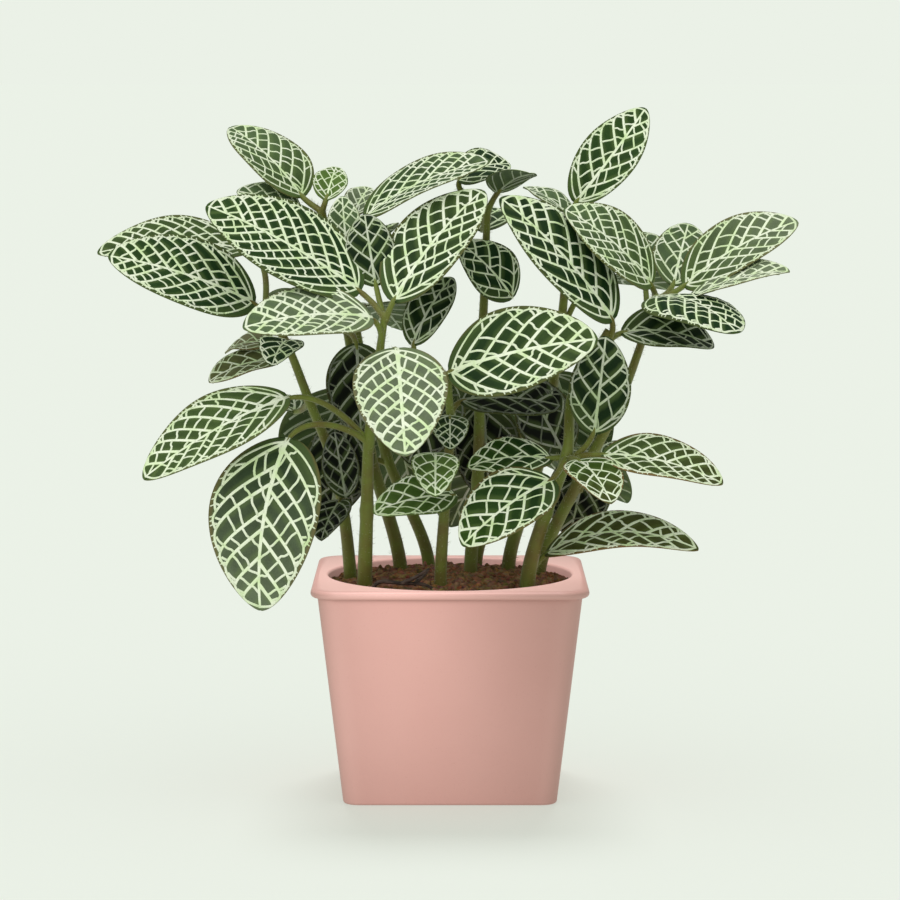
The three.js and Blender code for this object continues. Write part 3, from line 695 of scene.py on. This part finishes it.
# Name: the stem's foot radius, the points of its path above the soil, and its leaves.
STEMS = {
    "front_left": (3.6, [
        (-36, -20, 94), (-35, -24, 122), (-34, -26, 152), (-31, -28, 177), (-27, -30, 206),
    ], [
        leaf(2, (-67, -34, 171), (-127, -48, 138), 38, (-0.3, -0.6, 0.75), "moss", net=0.85),
        leaf(2, (-67, -44, 155), (-78, -62, 85), 46, (-0.1, -0.97, 0.25), "dusk", "silver", sway=-4),
        leaf(3, (-22, -42, 192), (-18, -81.8, 151), 39, (0, -0.7, 0.7), "silver", net=0.78),
        leaf(3, (-32, -34, 204), (-85, -54, 201), 34, (0.1, -0.55, 0.8), "silver", "grey", net=0.72),
        leaf(4, (-37, -24, 214), (-102, -20, 250), 42, (0.3, -0.7, 0.6), "night", "mid", net=0.72),
        leaf(4, (-24, -30, 210), (14, -8, 256), 38, (-0.45, -0.75, 0.5), "dusk", "moss", net=0.88),
        leaf(4, (-31, -20, 216), (-36, -8, 246), 22, (-0.1, -0.9, 0.4), "deep", arch=2),
    ]),
    "front_middle": (3, [(-4, -24, 94), (-2, -28, 127), (0, -28, 156), (-1, -28, 181)], [
        leaf(1, (3, -30, 129), (-32, -40, 123), 26, (0, -0.55, 0.85), "fern", "young", arch=3),
        leaf(1, (-6, -40, 148), (-6, -68, 133), 20, (0, -0.45, 0.9), "young", arch=3),
        leaf(2, (0, -32, 163), (0, -46, 150), 16, (0, -0.6, 0.8), "deep", arch=2),
        leaf(2, (4, -18, 168), (47, -12, 165), 26, (0, -0.6, 0.8), "shade", arch=3),
        leaf(3, (-1, -34, 181), (61, -48, 196), 42, (-0.1, -0.8, 0.6), "night", "moss"),
        leaf(3, (-16, -18, 191), (1, -2, 219), 20, (-0.3, -0.8, 0.5), "deep", arch=3),
    ]),
    "front_right": (3.6, [
        (33, -24, 94), (40, -28, 121), (49, -28, 146), (51, -20, 168), (59, -14, 185), (67, -12, 197),
    ], [
        leaf(0, (40, -20, 103), (104, -36, 107), 30, (0, -0.45, 0.9), "old", arch=10, lift=1),
        leaf(2, (43, -26, 144), (7, -30, 141), 24, (0, -0.55, 0.85), "night", "fern", arch=3),
        leaf(2, (43, -40, 137), (5, -62, 112), 34, (-0.1, -0.65, 0.75), "night", "fern"),
        leaf(2, (53, -38, 145), (66, -66, 130), 24, (0.1, -0.45, 0.85), "fern", "old", net=0.85, arch=3),
        leaf(2, (63, -36, 147), (113, -48, 136), 30, (0.1, -0.5, 0.85), "moss", "old", net=0.85),
        leaf(2, (60, -34, 155), (65, -30, 196), 26, (0, -1, 0.1), "deep", arch=3, lift=2),
        leaf(5, (69, -14, 201), (21, -14, 253), 42, (0.56, -0.63, 0.55), "night", "dusk"),
        leaf(5, (72, -10, 196), (112, -8, 190), 30, (0, -0.5, 0.85), "deep"),
    ]),
    "left": (3, [(-43, 2, 94), (-49, 2, 136), (-60, 0, 166), (-70, -4, 192), (-78, -8, 205)], [
        leaf(1, (-44, -14, 126), (-49, -8, 154), 16, (0, -1, 0), "shade", arch=2),
        leaf(1, (-46, -10, 125), (-54, -30, 110), 18, (-0.3, -0.6, 0.7), "shade", arch=2),
        leaf(2, (-66, 12, 160), (-104, 46, 158), 36, (-0.1, 0.1, 1), "mid"),
        leaf(3, (-74, 8, 183), (-103, 2, 174), 22, (0, -0.4, 0.9), "olive", arch=3),
        leaf(3, (-76, 14, 189), (-97, 24, 185), 20, (0, -0.4, 0.9), "tan", arch=3),
        leaf(3, (-68, -14, 193), (-74, -36, 184), 19, (0, -0.5, 0.85), "night", arch=3),
        leaf(4, (-82, -9, 208), (-143, -22, 229), 40, (0.2, -0.7, 0.7), "night", "mid", net=0.78),
        leaf(4, (-86, 12, 230), (-150, 2, 229), 38, (0, -0.45, 0.9), "moss", net=0.75),
    ]),
    "back_left": (3.2, [(-22, 26, 94), (-35, 24, 142), (-45, 20, 199), (-52, 14, 235), (-55, 12, 247)], [
        leaf(4, (-63, 16, 252), (-95, 34, 282), 34, (0.5, -0.6, 0.6), "moss", "grey",
             net=0.75, arch=3, lift=2),
        leaf(4, (-53, 10, 251), (-49, 24, 265), 15, (0, -0.75, 0.65), "young", arch=1),
        leaf(3, (-44, 4, 230), (-46, 8, 253), 15, (0, -1, 0.2), "grey", arch=1),
        leaf(3, (-42, 22, 244), (-35, 34, 256), 14, (0, -0.6, 0.8), "silver", arch=1),
        leaf(3, (-37, 6, 244), (17, 4, 268), 38, (-0.35, -0.38, 0.9), "mid", "grey", net=0.72),
        leaf(4, (-63, 12, 244), (-91, 10, 255), 26, (0, -0.45, 0.9), "grey", net=0.85, arch=2),
        leaf(3, (-58, 28, 235), (-90, 70, 233), 34, (-0.1, 0.4, 0.9), "mid", "moss", net=0.8),
        leaf(3, (-48, 30, 229), (-30, 76, 233), 36, (0, 0.3, 0.95), "night", "mid"),
        leaf(2, (-40, 12, 190), (-38, 4, 150), 28, (0, -0.97, 0.25), "shade", arch=3),
        leaf(1, (-43, 17, 158), (-52, 12, 114), 30, (-0.1, -0.97, 0.2), "shade", arch=3),
    ]),
    "middle": (3.2, [(9, 14, 94), (12, 18, 130), (13, 20, 173), (15, 20, 216), (16, 20, 247)], [
        leaf(4, (3, 24, 259), (26, 30, 266), 26, (0, -0.5, 0.85), "night", arch=3),
        leaf(4, (20, 16, 254), (34, -2, 263), 22, (-0.1, 0.35, 0.9), "night", arch=2),
        leaf(3, (27, 12, 209), (4, 12, 233), 26, (0.3, -0.8, 0.5), "night", arch=3),
        leaf(4, (14, 30, 237), (0, 80, 243), 36, (0, 0.3, 0.95), "night", "moss"),
        leaf(2, (0, 14, 176), (-18, 10, 138), 30, (-0.1, -0.95, 0.3), "shade", arch=3),
        leaf(1, (14, 27, 164), (17, 29, 120), 30, (0.1, -0.97, 0.2), "shade", arch=3),
    ]),
    "right": (3.2, [(39, 12, 94), (56, 14, 131), (73, 12, 165), (84, 10, 196), (88, 8, 209)], [
        leaf(4, (86, 0, 215), (48, -6, 248), 36, (0.5, -0.6, 0.6), "moss", "grey", net=0.72),
        leaf(4, (96, 18, 214), (104, 42, 240), 24, (0, -0.75, 0.65), "grey", net=0.85, arch=2),
        leaf(4, (100, 14, 214), (149, 14, 242), 38, (-0.4, -0.55, 0.75), "moss", "silver", net=0.9),
        leaf(4, (100, 0, 208), (143, -14, 222), 34, (-0.1, -0.25, 0.95), "silver", net=0.72),
        leaf(4, (87, -4, 211), (119, -40, 198), 42, (0.35, -0.5, 0.8), "night", net=0.8, arch=5, lift=-4),
        leaf(1, (66, 22, 138), (104, 52, 136), 34, (0.1, 0.1, 1), "mid"),
        leaf(3, (92, 22, 200), (118, 56, 200), 34, (0.1, 0.2, 1), "night", "mid"),
        leaf(3, (84, 32, 219), (78, 58, 235), 28, (0, -0.5, 0.85), "grey", arch=3),
        leaf(1, (60, 22, 142), (52, 26, 104), 28, (0, -0.97, 0.2), "shade", arch=3),
        leaf(1, (50, 20, 140), (30, 17, 176), 26, (0, -0.95, 0.3), "shade", arch=3),
    ]),
    "back_right": (3.2, [(26, 32, 94), (39, 34, 137), (48, 32, 194), (52, 30, 243)], [
        leaf(3, (54, 30, 249), (85, 40, 290), 27, (-0.35, -0.85, 0.3), "mid",
             net=0.85, arch=3, sway=-2, lift=2),
        leaf(3, (52, 26, 243), (32, 36, 256), 24, (0.55, -0.3, 0.8), "grey", arch=2),
        leaf(2, (60, 38, 213), (98, 76, 209), 36, (0.1, 0.4, 0.9), "night", "moss"),
        leaf(3, (48, 40, 237), (42, 86, 241), 34, (0, 0.3, 0.95), "mid", "grey"),
    ]),
    "rear_left": (3, [(-10, 44, 94), (-28, 50, 137), (-38, 52, 177), (-42, 52, 199)], [
        leaf(3, (-50, 54, 203), (-80, 84, 197), 36, (-0.2, 0.5, 0.85), "mid"),
        leaf(3, (-38, 60, 203), (-22, 105.9, 189), 38, (0.1, 0.4, 0.9), "night", "moss"),
        leaf(2, (-46, 54, 167), (-66, 82, 116), 40, (-0.3, 0.85, 0.4), "deep", "mid"),
        leaf(2, (-28, 60, 167), (-16, 80, 110), 40, (0.1, 0.93, 0.35), "night", "mid"),
        leaf(1, (-40, 48, 135), (-86, 62, 115), 36, (-0.3, 0.4, 0.85), "old"),
    ]),
    "rear_right": (3, [(12, 44, 94), (28, 50, 137), (36, 54, 177)], [
        leaf(2, (46, 60, 174), (60, 86, 122), 40, (0.3, 0.85, 0.4), "night", "mid"),
        leaf(2, (26, 64, 174), (18, 92, 120), 40, (0, 0.9, 0.4), "mid", "moss"),
        leaf(1, (38, 54, 139), (80, 78, 113), 38, (0.3, 0.5, 0.8), "deep", "mid"),
        leaf(1, (20, 60, 137), (0, 86, 101), 38, (-0.2, 0.8, 0.5), "deep"),
    ]),
}


def stem_tube(points, radius):
    """The stem, from its root in the soil up through its points: it thins evenly from foot to tip,
    with a low swelling at each point of its path."""
    points = np.array(points) * MM
    root = points[0] - np.array([0, 0, ROOT_DEPTH])
    middle = spline(np.vstack([root, points]), STEM_STEPS)
    walked = np.concatenate([[0], np.cumsum(np.linalg.norm(np.diff(middle, axis=0), axis=1))])
    thin = radius * MM + (STEM_TIP_RADIUS - radius * MM) * walked / walked[-1]
    knots = walked[2 * STEM_STEPS :: STEM_STEPS, None]
    swelling = np.exp(-(((walked - knots) / KNOT_REACH) ** 2)).sum(axis=0)
    return tube(middle, (thin * (1 + KNOT_SWELLING * swelling))[:, None], STEM_SIDES)


def petiole_tube(points, blade, order):
    """The leaf's stalk: a cubic curve that leaves the stem upwards and outwards, a little lower
    for each leaf in turn, and runs into the blade along its midrib, where it thins out."""
    start = np.array(points[blade["at"]]) * MM
    start[2] -= PETIOLE_STAGGER * (2 + order)
    reach = np.linalg.norm(blade["base"] - start)
    outwards = (blade["base"] - start) * np.array([1, 1, 0])
    slope = blade["along"] * blade["length"] + 4 * blade["arch"] * blade["up"]
    slope = unit(slope + 4 * blade["sway"] * blade["left"])
    first = start + 0.2 * outwards + np.array([0, 0, 0.2 * reach])
    second = blade["base"] - 0.35 * reach * slope
    end = blade["base"] + PETIOLE_SUNK_IN_BLADE * slope - 0.4 * BLADE_THICKNESS * blade["up"]
    t = np.linspace(0, 1, PETIOLE_STEPS)[:, None]
    middle = (1 - t) ** 3 * start + 3 * t * (1 - t) ** 2 * first
    middle = middle + 3 * t**2 * (1 - t) * second + t**3 * end
    radius = PETIOLE_RADIUS + (PETIOLE_END_RADIUS - PETIOLE_RADIUS) * t
    taper = np.clip((t - PETIOLE_TAPER_FROM) / (1 - PETIOLE_TAPER_FROM), 0, 1)
    return tube(middle, radius * (1 - 0.6 * taper), PETIOLE_SIDES)


def hairs(rings, count, random):
    """Hairs on a tube: three-sided spikes from random points of its rings, away from its middle."""
    row = random.integers(1, len(rings) - 2, count)
    side = random.integers(0, rings.shape[1], count)
    root = rings[row, side] + (rings[row + 1, side] - rings[row, side]) * random.random((count, 1))
    out = unit(root - rings[row].mean(axis=1))
    lean = HAIR_LEAN * (random.random((count, 3)) - 0.5)
    tip = root + unit(out + lean) * HAIR_LENGTH * (0.5 + random.random((count, 1)))
    across = unit(np.cross(out, rings[row + 1, side] - rings[row, side]))
    turn = around(3)[:, None]
    spokes = np.cos(turn) * across[:, None] + np.sin(turn) * np.cross(out, across)[:, None]
    low = (root - 0.2 * MM * out)[:, None] + HAIR_RADIUS * spokes
    high = tip[:, None] + 0.25 * HAIR_RADIUS * spokes
    return skin(np.stack([low, high], axis=1), hair=1.0)


def stem_material():
    """Soft olive-green stem, browner in blotches, with pale hairs and faint lengthwise ridges."""
    material, tree, shader, place = new_material("stem_skin")
    streak = add_node(tree, "Mapping", {"Vector": place}, Scale=(1, 1, 0.2))
    ridges = noise(tree, streak.outputs[0], 1400, 2)
    shade = two_tones(tree, noise(tree, place, 90, 3), (0.36, STEM_BROWNISH), (0.62, STEM_GREEN))
    haired = mix(tree, mark(tree, "hair"), shade, colour(*HAIR_PALE))
    finish_shader(tree, shader, haired, ridges, 0.3 * MM, 0.35, Roughness=0.55, Sheen_Weight=0.2)
    return material


stem_skin_material = stem_material()
for number, (name, (radius, points, blades)) in enumerate(STEMS.items()):
    random = np.random.default_rng(HAIR_SEED + number)
    stem_rings = stem_tube(points, radius)
    skins = [skin(stem_rings, hair=0.0), hairs(stem_rings, STEM_HAIRS, random)]
    for order, blade in enumerate(blades):
        stalk = petiole_tube(points, blade, order)
        skins += [skin(stalk, hair=0.0), hairs(stalk, PETIOLE_HAIRS, random)]
    add_piece("shoot_" + name, skins, stem_skin_material, ["stem_" + name])

# ------------------------ leaf blades
# Thin oval leaves, dark green and slightly velvety. Each is quilted between its veins, sunk along
# its midrib and gently waved at its edge, and older ones have a brown edge.

BLADE_SEED = 80
GRID_SWEEP = 0.8
MIDRIB_VALLEY = 1.1 * MM
EDGE_WAVE = 0.7 * MM
QUILTING = 0.012
VEIN_SPACING = 9.6 * MM
FIRST_VEIN = 0.03
LAST_VEIN = 0.88
VEIN_STEPS = (0.09, 0.24)
VEIN_END = 0.98
SIDE_OFFSET = 0.35
LEAN = 0.85
LEAN_GAIN = 0.4
FAN = 0.75
EDGE_BEND = 0.16
RUNG_SPACING = 4.1 * MM
RUNG_FALL = 0.42
LOOP_AT = 0.87
BLADE_MIDDLE = 0.55 * MM
BLADE_EDGE = 0.3 * MM
# The leaves' greens, most of them their own. The darkest is painted shade, and the next darkest a dark
# green with painted shade in it, for leaves within the foliage. The two greyish greens hold a painted
# sheen.
LEAF_TONES = {
    "shade": (9, 15, 6),
    "deep": (17, 38, 12),
    "night": (22, 50, 20),
    "dusk": (34, 56, 26),
    "mid": (42, 68, 26),
    "moss": (64, 84, 42),
    "grey": (82, 102, 68),
    "silver": (108, 120, 94),
    "olive": (100, 104, 64),
    "tan": (134, 130, 98),
    "fern": (48, 76, 18),
    "young": (82, 108, 48),
    "old": (68, 74, 32),
}
EDGE_BROWNING = {
    "old": 0.9,
    "tan": 0.8,
    "olive": 0.6,
    "fern": 0.5,
    "silver": 0.4,
    "grey": 0.3,
    "moss": 0.25,
}
LEAST_BROWNING = 0.12
BROWN_EDGE = (128, 78, 52)
BY_VEIN_GREEN = (118, 140, 78)
UNDERSIDE_GREEN = (112, 128, 88)


def half_width(s):
    """Half the blade's width at s, 0 at its base and 1 at its tip, as a part of its widest: a
    power of the sine of a power of s, widest a little below the middle."""
    return np.maximum(np.sin(np.pi * np.clip(s, 0, 1) ** 0.85), 0) ** 0.6


def hump(s):
    """A low parabola along the blade: nothing at both ends and 1 in the middle."""
    return 4 * s * (1 - s)


def leaf_tone(blade, s):
    """The leaf's green, with painted shade and painted sheen in some tones: its tone at the base passes
    into its tone at the tip.
    """
    base, tip = (np.array(colour(*LEAF_TONES[tone])[:3]) for tone in blade["tones"])
    return base + (tip - base) * (np.clip(s, 0, 1) ** 1.3)[..., None]


def vein_step(blade):
    """The stretch of midrib between two side veins, as a part of the blade's length."""
    return np.clip(VEIN_SPACING * blade["net"] / blade["length"], *VEIN_STEPS)


def vein_at(blade, k, t, left):
    """How far along the blade side vein k is, at t of the half width. Its foot is an even step from
    the last one's, the left half's between the right half's. It runs out straight, leans further
    forward the nearer it is to the tip, and bends forward at the edge; veins below zero fan out
    from the base. The width where it is depends on the answer, which is found by going round."""
    even = k + SIDE_OFFSET * left
    foot = FIRST_VEIN + np.maximum(even, 0) * vein_step(blade)
    lean = LEAN * (1 + FAN * np.minimum(even, 0)) + LEAN_GAIN * foot
    reach = lean * t * blade["width"] / 2 / blade["length"]
    straight = foot + EDGE_BEND * (1 - foot) * t**5
    s = foot + 0 * t
    for _ in range(12):
        s = (s + straight + reach * half_width(s)) / 2
    return np.minimum(s, VEIN_END)


def quilt(blade, s, t):
    """How far the blade is puffed up, 0 on its veins to 1 between them: vein_at() solved for k, and
    a squared sine of it across the stretch, times one along it from rung to rung."""
    side = np.abs(t)
    out = side * half_width(s) * blade["width"] / 2 / blade["length"]
    bend = EDGE_BEND * side**5
    foot = (s - LEAN * out - bend) / (1 + LEAN_GAIN * out - bend)
    phase = (foot - FIRST_VEIN) / vein_step(blade) - SIDE_OFFSET * (t > 0)
    across = np.sin(np.pi * phase) ** 2 * np.clip(1 + 2 * phase, 0, 1)
    along = 0.7 + 0.3 * np.sin(np.pi * side * blade["width"] / 2 / RUNG_SPACING / blade["net"]) ** 2
    ends = np.clip(side / 0.12, 0, 1) * np.clip((1 - side) / 0.14, 0, 1)
    return across * along * ends


def on_blade(blade, s, t, lift=0.0):
    """Points of the upper face: along the blade by s, to its left by t of the half width, and up
    by the arch, the valley at the midrib, the lifted and waved edges and the quilting."""
    side = np.abs(t)
    full = half_width(s)
    wave = EDGE_WAVE * side**3 * np.sin(7 * s + blade["width"] / MM + 2 * t)
    shape = MIDRIB_VALLEY * np.sin(0.8 * np.pi * side) + blade["lift"] * side**2 + wave
    puffed = QUILTING * blade["width"] * quilt(blade, s, t)
    rise = blade["arch"] * hump(s) + full * (shape + puffed) + lift
    across = t * blade["width"] / 2 * full + blade["sway"] * hump(s)
    along = (blade["length"] * s)[..., None] * blade["along"]
    return blade["base"] + along + across[..., None] * blade["left"] + rise[..., None] * blade["up"]


def blade_skin(blade, random):
    """The blade: rings that cross its upper face from left to right and come back underneath."""
    rows = int(np.clip(blade["length"] / MM, 20, 64))
    columns = 1 + 2 * int(np.clip(0.4 * blade["width"] / MM, 8, 17))
    even = np.linspace(0.006, 0.994, rows)[:, None]
    u = even - 0.3 * np.sin(2 * np.pi * even) / (2 * np.pi)
    x = np.linspace(1, -1, columns)[None, :]
    t = x * (1.35 - 0.35 * x**2)
    s = u + GRID_SWEEP * np.abs(t) ** 1.2 * u * (1 - u)
    thick = BLADE_MIDDLE + (BLADE_EDGE - BLADE_MIDDLE) * t**2
    upper = on_blade(blade, s, t)
    lower = on_blade(blade, s, t, -thick)[:, ::-1]
    tone = leaf_tone(blade, s) * (0.9 + 0.2 * random.random())
    rim = np.clip((np.abs(t) - 0.9) / 0.06, 0, 1) + 0 * u
    brown = rim * EDGE_BROWNING.get(blade["tones"][1], LEAST_BROWNING)
    tint = tone + (np.array(colour(*BROWN_EDGE)[:3]) - tone) * brown[..., None]
    puffed = quilt(blade, s, t)
    under = np.concatenate([0 * brown, 0 * brown + 1], axis=1)
    tint, puffed = (np.concatenate([each, each[:, ::-1]], axis=1) for each in (tint, puffed))
    rings = np.concatenate([upper, lower], axis=1)
    return skin(rings, tint=tint[None], under=under[None], puffed=puffed[None])


def blade_material():
    """Leaf flesh: the leaf's green, which on some leaves is painted shade and on the greyish ones holds a
    painted sheen, lighter by the veins and darker where it puffs up, uneven in soft patches, grained with
    fine cells, with a dull, paler underside."""
    material, tree, shader, place = new_material("leaf_flesh")
    patches = noise(tree, place, 120, 3)
    cells = noise(tree, place, 1800, 3)
    green = mark(tree, "tint", "Vector")
    for shift in (spread(tree, patches, 0.6, 1.45), spread(tree, cells, 0.75, 1.25)):
        shifted = add_node(tree, "VectorMath", {0: green}, operation="SCALE")
        tree.links.new(shift, shifted.inputs["Scale"])
        green = shifted.outputs[0]
    by_vein = spread(tree, mark(tree, "puffed"), 0.28, 0, From_Max=0.6)
    lit = mix(tree, by_vein, green, colour(*BY_VEIN_GREEN))
    dull = add_node(tree, "Math", {0: mark(tree, "under"), 1: 0.35}, operation="MULTIPLY")
    both = mix(tree, dull.outputs[0], lit, colour(*UNDERSIDE_GREEN))
    finish_shader(tree, shader, both, cells, 0.2 * MM, 0.3, Roughness=0.6, Specular_IOR_Level=0.12)
    return material


leaf_flesh = blade_material()
for number, (name, (_, _, blades)) in enumerate(STEMS.items()):
    random = np.random.default_rng(BLADE_SEED + number)
    skins = [blade_skin(blade, random) for blade in blades]
    add_piece("blades_" + name, skins, leaf_flesh, ["stem_" + name])

# ------------------------ leaf veins
# The cream net that gives the plant its name: a midrib, side veins that bend forward and join in
# loops short of the edge, and a fine net of links between them. The main ribs show underneath.

VEIN_SEED = 120
VEIN_SECTION = ((1, -0.12), (0.65, 0.12), (-0.65, 0.12), (-1, -0.12))
MIDRIB_HALF = 1.15 * MM
SIDE_HALF = 0.84 * MM
LOOP_HALF = 0.58 * MM
RUNG_HALF = 0.56 * MM
SPUR_HALF = 0.3 * MM
MIDRIB_END = 0.985
UNDER_MIDRIB_END = 0.97
EDGE_LIMIT = 0.985
VEIN_JITTER = 0.3
MOST_RUNGS = 7
RUNG_JITTER = 0.4
RUNG_STEPS = (0.12, 0.4)
RUNG_FALLS = (0.14, 0.4)
RUNG_BOW = 0.07
RUNG_KINK = 0.02
RUNG_PARTS = np.linspace(0, 1, 7)
SHORTEST_RUNG = 1.6 * RUNG_HALF
LAST_RUNG_AT = 0.96
LINKS_AT = (0.33, 0.68)
LAST_LOOP_END = 0.978
LOOP_BULGE = 0.05
SPUR_LEAN = 0.012
SPUR_END = 0.98
FULL_SIZE_LEAF = 60 * MM
BOLD_VEINS = {"silver": 1.25, "grey": 1.1}
# How far the veins take on the leaf's green: painted shade on leaves within the foliage.
PAINTED_VEIN_SHADE = {"shade": 0.62, "deep": 0.34}
LEAST_VEIN_SHADE = 0.02
UNDER_GREEN = 0.55
VEIN_GREENISH = (220, 242, 184)
VEIN_CREAM = (248, 254, 230)


def ribs(blade, s, t, half, under=False):
    """Ribs that lie on the blade. Each path is laid out flat, its section's points are moved off
    it sideways, and all are lifted back onto the blade's face, or hung under it."""
    size = np.clip(blade["length"] / FULL_SIZE_LEAF, 0.3, 1.1) ** 0.7
    size *= BOLD_VEINS.get(blade["tones"][0], 1) * blade["net"] ** 0.6
    s, t = np.broadcast_arrays(s, t)
    x = s * blade["length"]
    y = t * blade["width"] / 2 * half_width(s) + blade["sway"] * hump(s)
    across = np.stack([-np.gradient(y, axis=1), np.gradient(x, axis=1)])
    across /= np.maximum(np.hypot(*across), 1e-9)
    aside, high = np.array(VEIN_SECTION).T
    high = high * MM
    wide = size * np.broadcast_to(half, x.shape)[..., None] * aside
    s = np.clip((x[..., None] + across[0][..., None] * wide) / blade["length"], 0.003, 0.997)
    reach = np.maximum(blade["width"] / 2 * half_width(s), 1e-6)
    y = y[..., None] + across[1][..., None] * wide - blade["sway"] * hump(s)
    t = np.clip(y / reach, -EDGE_LIMIT, EDGE_LIMIT)
    if under:
        rings = on_blade(blade, s, t, -BLADE_MIDDLE - 2 * high)[:, :, ::-1]
    else:
        rings = on_blade(blade, s, t, high)
    # Veins of shaded leaves take on the leaf's green as painted shade, the fine net the more.
    vein_shade = PAINTED_VEIN_SHADE.get(blade["tones"][0], LEAST_VEIN_SHADE)
    fine = (0.07 + 0.25 * vein_shade) * float(np.mean(half) < 0.8 * SIDE_HALF)
    green = max(UNDER_GREEN if under else 0, fine + vein_shade)
    return skin(rings, tint=leaf_tone(blade, s), green=green)


def rungs(blade, k, left, random):
    """The rungs from each side vein k of one half to the next, and how far each set falls back.
    They run square to the side veins, so each ends nearer the midrib than it began, or on it. Only
    those are kept that are long enough and don't reach the loops or the tip."""
    reach = half_width(vein_at(blade, k + 0.5, 0.5 + 0 * k, left)) * blade["width"] / 2
    rung_step = np.clip(RUNG_SPACING * blade["net"] / reach, *RUNG_STEPS)
    fall = np.clip(RUNG_FALL * vein_step(blade) * blade["length"] / reach, *RUNG_FALLS)
    order = np.arange(MOST_RUNGS) + RUNG_JITTER * (random.random((len(k), MOST_RUNGS)) - 0.5)
    begin_t = rung_step * (0.8 + order)
    end_t = np.maximum(begin_t - fall, 0)
    upper = np.vstack([k[1:], k[-1:] + 1])
    landed = np.where(begin_t < fall, k + (upper - k) * begin_t / fall, upper)
    begin_s = vein_at(blade, k, begin_t, left)
    end_s = vein_at(blade, landed, end_t, left)
    real = (end_s - begin_s) * blade["length"] > SHORTEST_RUNG
    real &= (end_s < LAST_RUNG_AT) & (begin_t < LOOP_AT - 0.1)
    real[-1] &= end_t[-1] == 0
    bow = RUNG_BOW * np.sin(np.pi * RUNG_PARTS) * (random.random(real.shape) - 0.5)[real][:, None]
    kink = (random.random(real.shape) - 0.5)[real][:, None]
    kink = RUNG_KINK * np.sin(2 * np.pi * RUNG_PARTS) * kink
    s = begin_s[real][:, None] + (end_s - begin_s)[real][:, None] * RUNG_PARTS + kink
    t = begin_t[real][:, None] + (end_t - begin_t)[real][:, None] * RUNG_PARTS + bow
    return s, np.maximum(t, 0), fall


def loops(ends):
    """Loops that bulge out from the end of each side vein to the end of the next. The last one
    bends in to the midrib near the tip."""
    knots = np.append(ends, LAST_LOOP_END)
    last_loop = np.arange(len(ends))[:, None] == len(ends) - 1
    part = np.linspace(0, 1, 9)[None]
    s = knots[:-1, None] + np.diff(knots)[:, None] * part
    return s, LOOP_AT * (1 - last_loop * part**4) + LOOP_BULGE * np.sin(np.pi * part)


def vein_net(blade, random):
    """All the ribs of one leaf: the midrib, and on each half the side veins, the rungs between
    each two of them, loops that join the side veins' ends, rungs from the loops inwards, and
    spurs from the loops to the edge."""
    made = []

    def lay(s, t, half, under=False):
        made.append(ribs(blade, s, t, half, under))

    along = np.linspace(0, 1, 26)[None]
    midrib_half = MIDRIB_HALF * (1 - 0.5 * along)
    lay(MIDRIB_END * along, 0, midrib_half)
    lay(UNDER_MIDRIB_END * along, 0, 0.9 * midrib_half, under=True)
    outwards = np.linspace(0, 1, 12)[None]
    for left in (0, 1):
        side = 1 if left else -1
        last = int((LAST_VEIN - FIRST_VEIN) / vein_step(blade) - SIDE_OFFSET * left)
        k = np.arange(-1, last + 1)[:, None] * 1.0
        k[2:] += VEIN_JITTER * (random.random((len(k) - 2, 1)) - 0.5)
        s = vein_at(blade, k, LOOP_AT * outwards, left)
        thin = SIDE_HALF * (1 - 0.25 * outwards) * np.clip(1 + 0.25 * k, 0.6, 1)
        lay(s, side * LOOP_AT * outwards, thin)
        lay(s, side * LOOP_AT * outwards, 0.8 * thin, under=True)
        rung_s, rung_t, fall = rungs(blade, k, left, random)
        lay(rung_s, side * rung_t, RUNG_HALF)
        loop_s, loop_t = loops(s[:, -1])
        lay(loop_s, side * loop_t, LOOP_HALF)
        for share in LINKS_AT:
            begin_s = loop_s[:-1, :1] + (loop_s[:-1, -1:] - loop_s[:-1, :1]) * share
            inner_t = LOOP_AT - fall[:-1] * (1 - share)
            end_s = vein_at(blade, k[1:], inner_t, left)
            link_s = begin_s + (end_s - begin_s) * RUNG_PARTS
            link_t = LOOP_AT + (inner_t - LOOP_AT) * RUNG_PARTS + 0.03 * np.sin(np.pi * RUNG_PARTS)
            lay(link_s, side * link_t, RUNG_HALF)
        from_s, from_t = (values[:-1, 2:8:2].reshape(-1, 1) for values in (loop_s, loop_t))
        spur_s = np.minimum(from_s + SPUR_LEAN * np.array([0, 1]), EDGE_LIMIT)
        lay(spur_s, side * (from_t + (SPUR_END - from_t) * np.array([0, 1])), SPUR_HALF)
    return made


def vein_material():
    """Cream-white veins, greener in the fine net and underneath, and greener as painted shade on leaves
    within the foliage; slightly waxy.
    """
    material, tree, shader, place = new_material("vein_cream")
    patches = noise(tree, place, 150, 3)
    shade = two_tones(tree, patches, (0.3, VEIN_GREENISH), (0.6, VEIN_CREAM))
    mixed = mix(tree, mark(tree, "green"), shade, mark(tree, "tint", "Vector"))
    grain = noise(tree, place, 1500, 2)
    finish_shader(tree, shader, mixed, grain, 0.2 * MM, 0.2, Roughness=0.45, Specular_IOR_Level=0.4)
    return material


vein_cream = vein_material()
for number, (name, (_, _, blades)) in enumerate(STEMS.items()):
    random = np.random.default_rng(VEIN_SEED + number)
    skins = [each for blade in blades for each in vein_net(blade, random)]
    add_piece("veins_" + name, skins, vein_cream, ["stem_" + name])
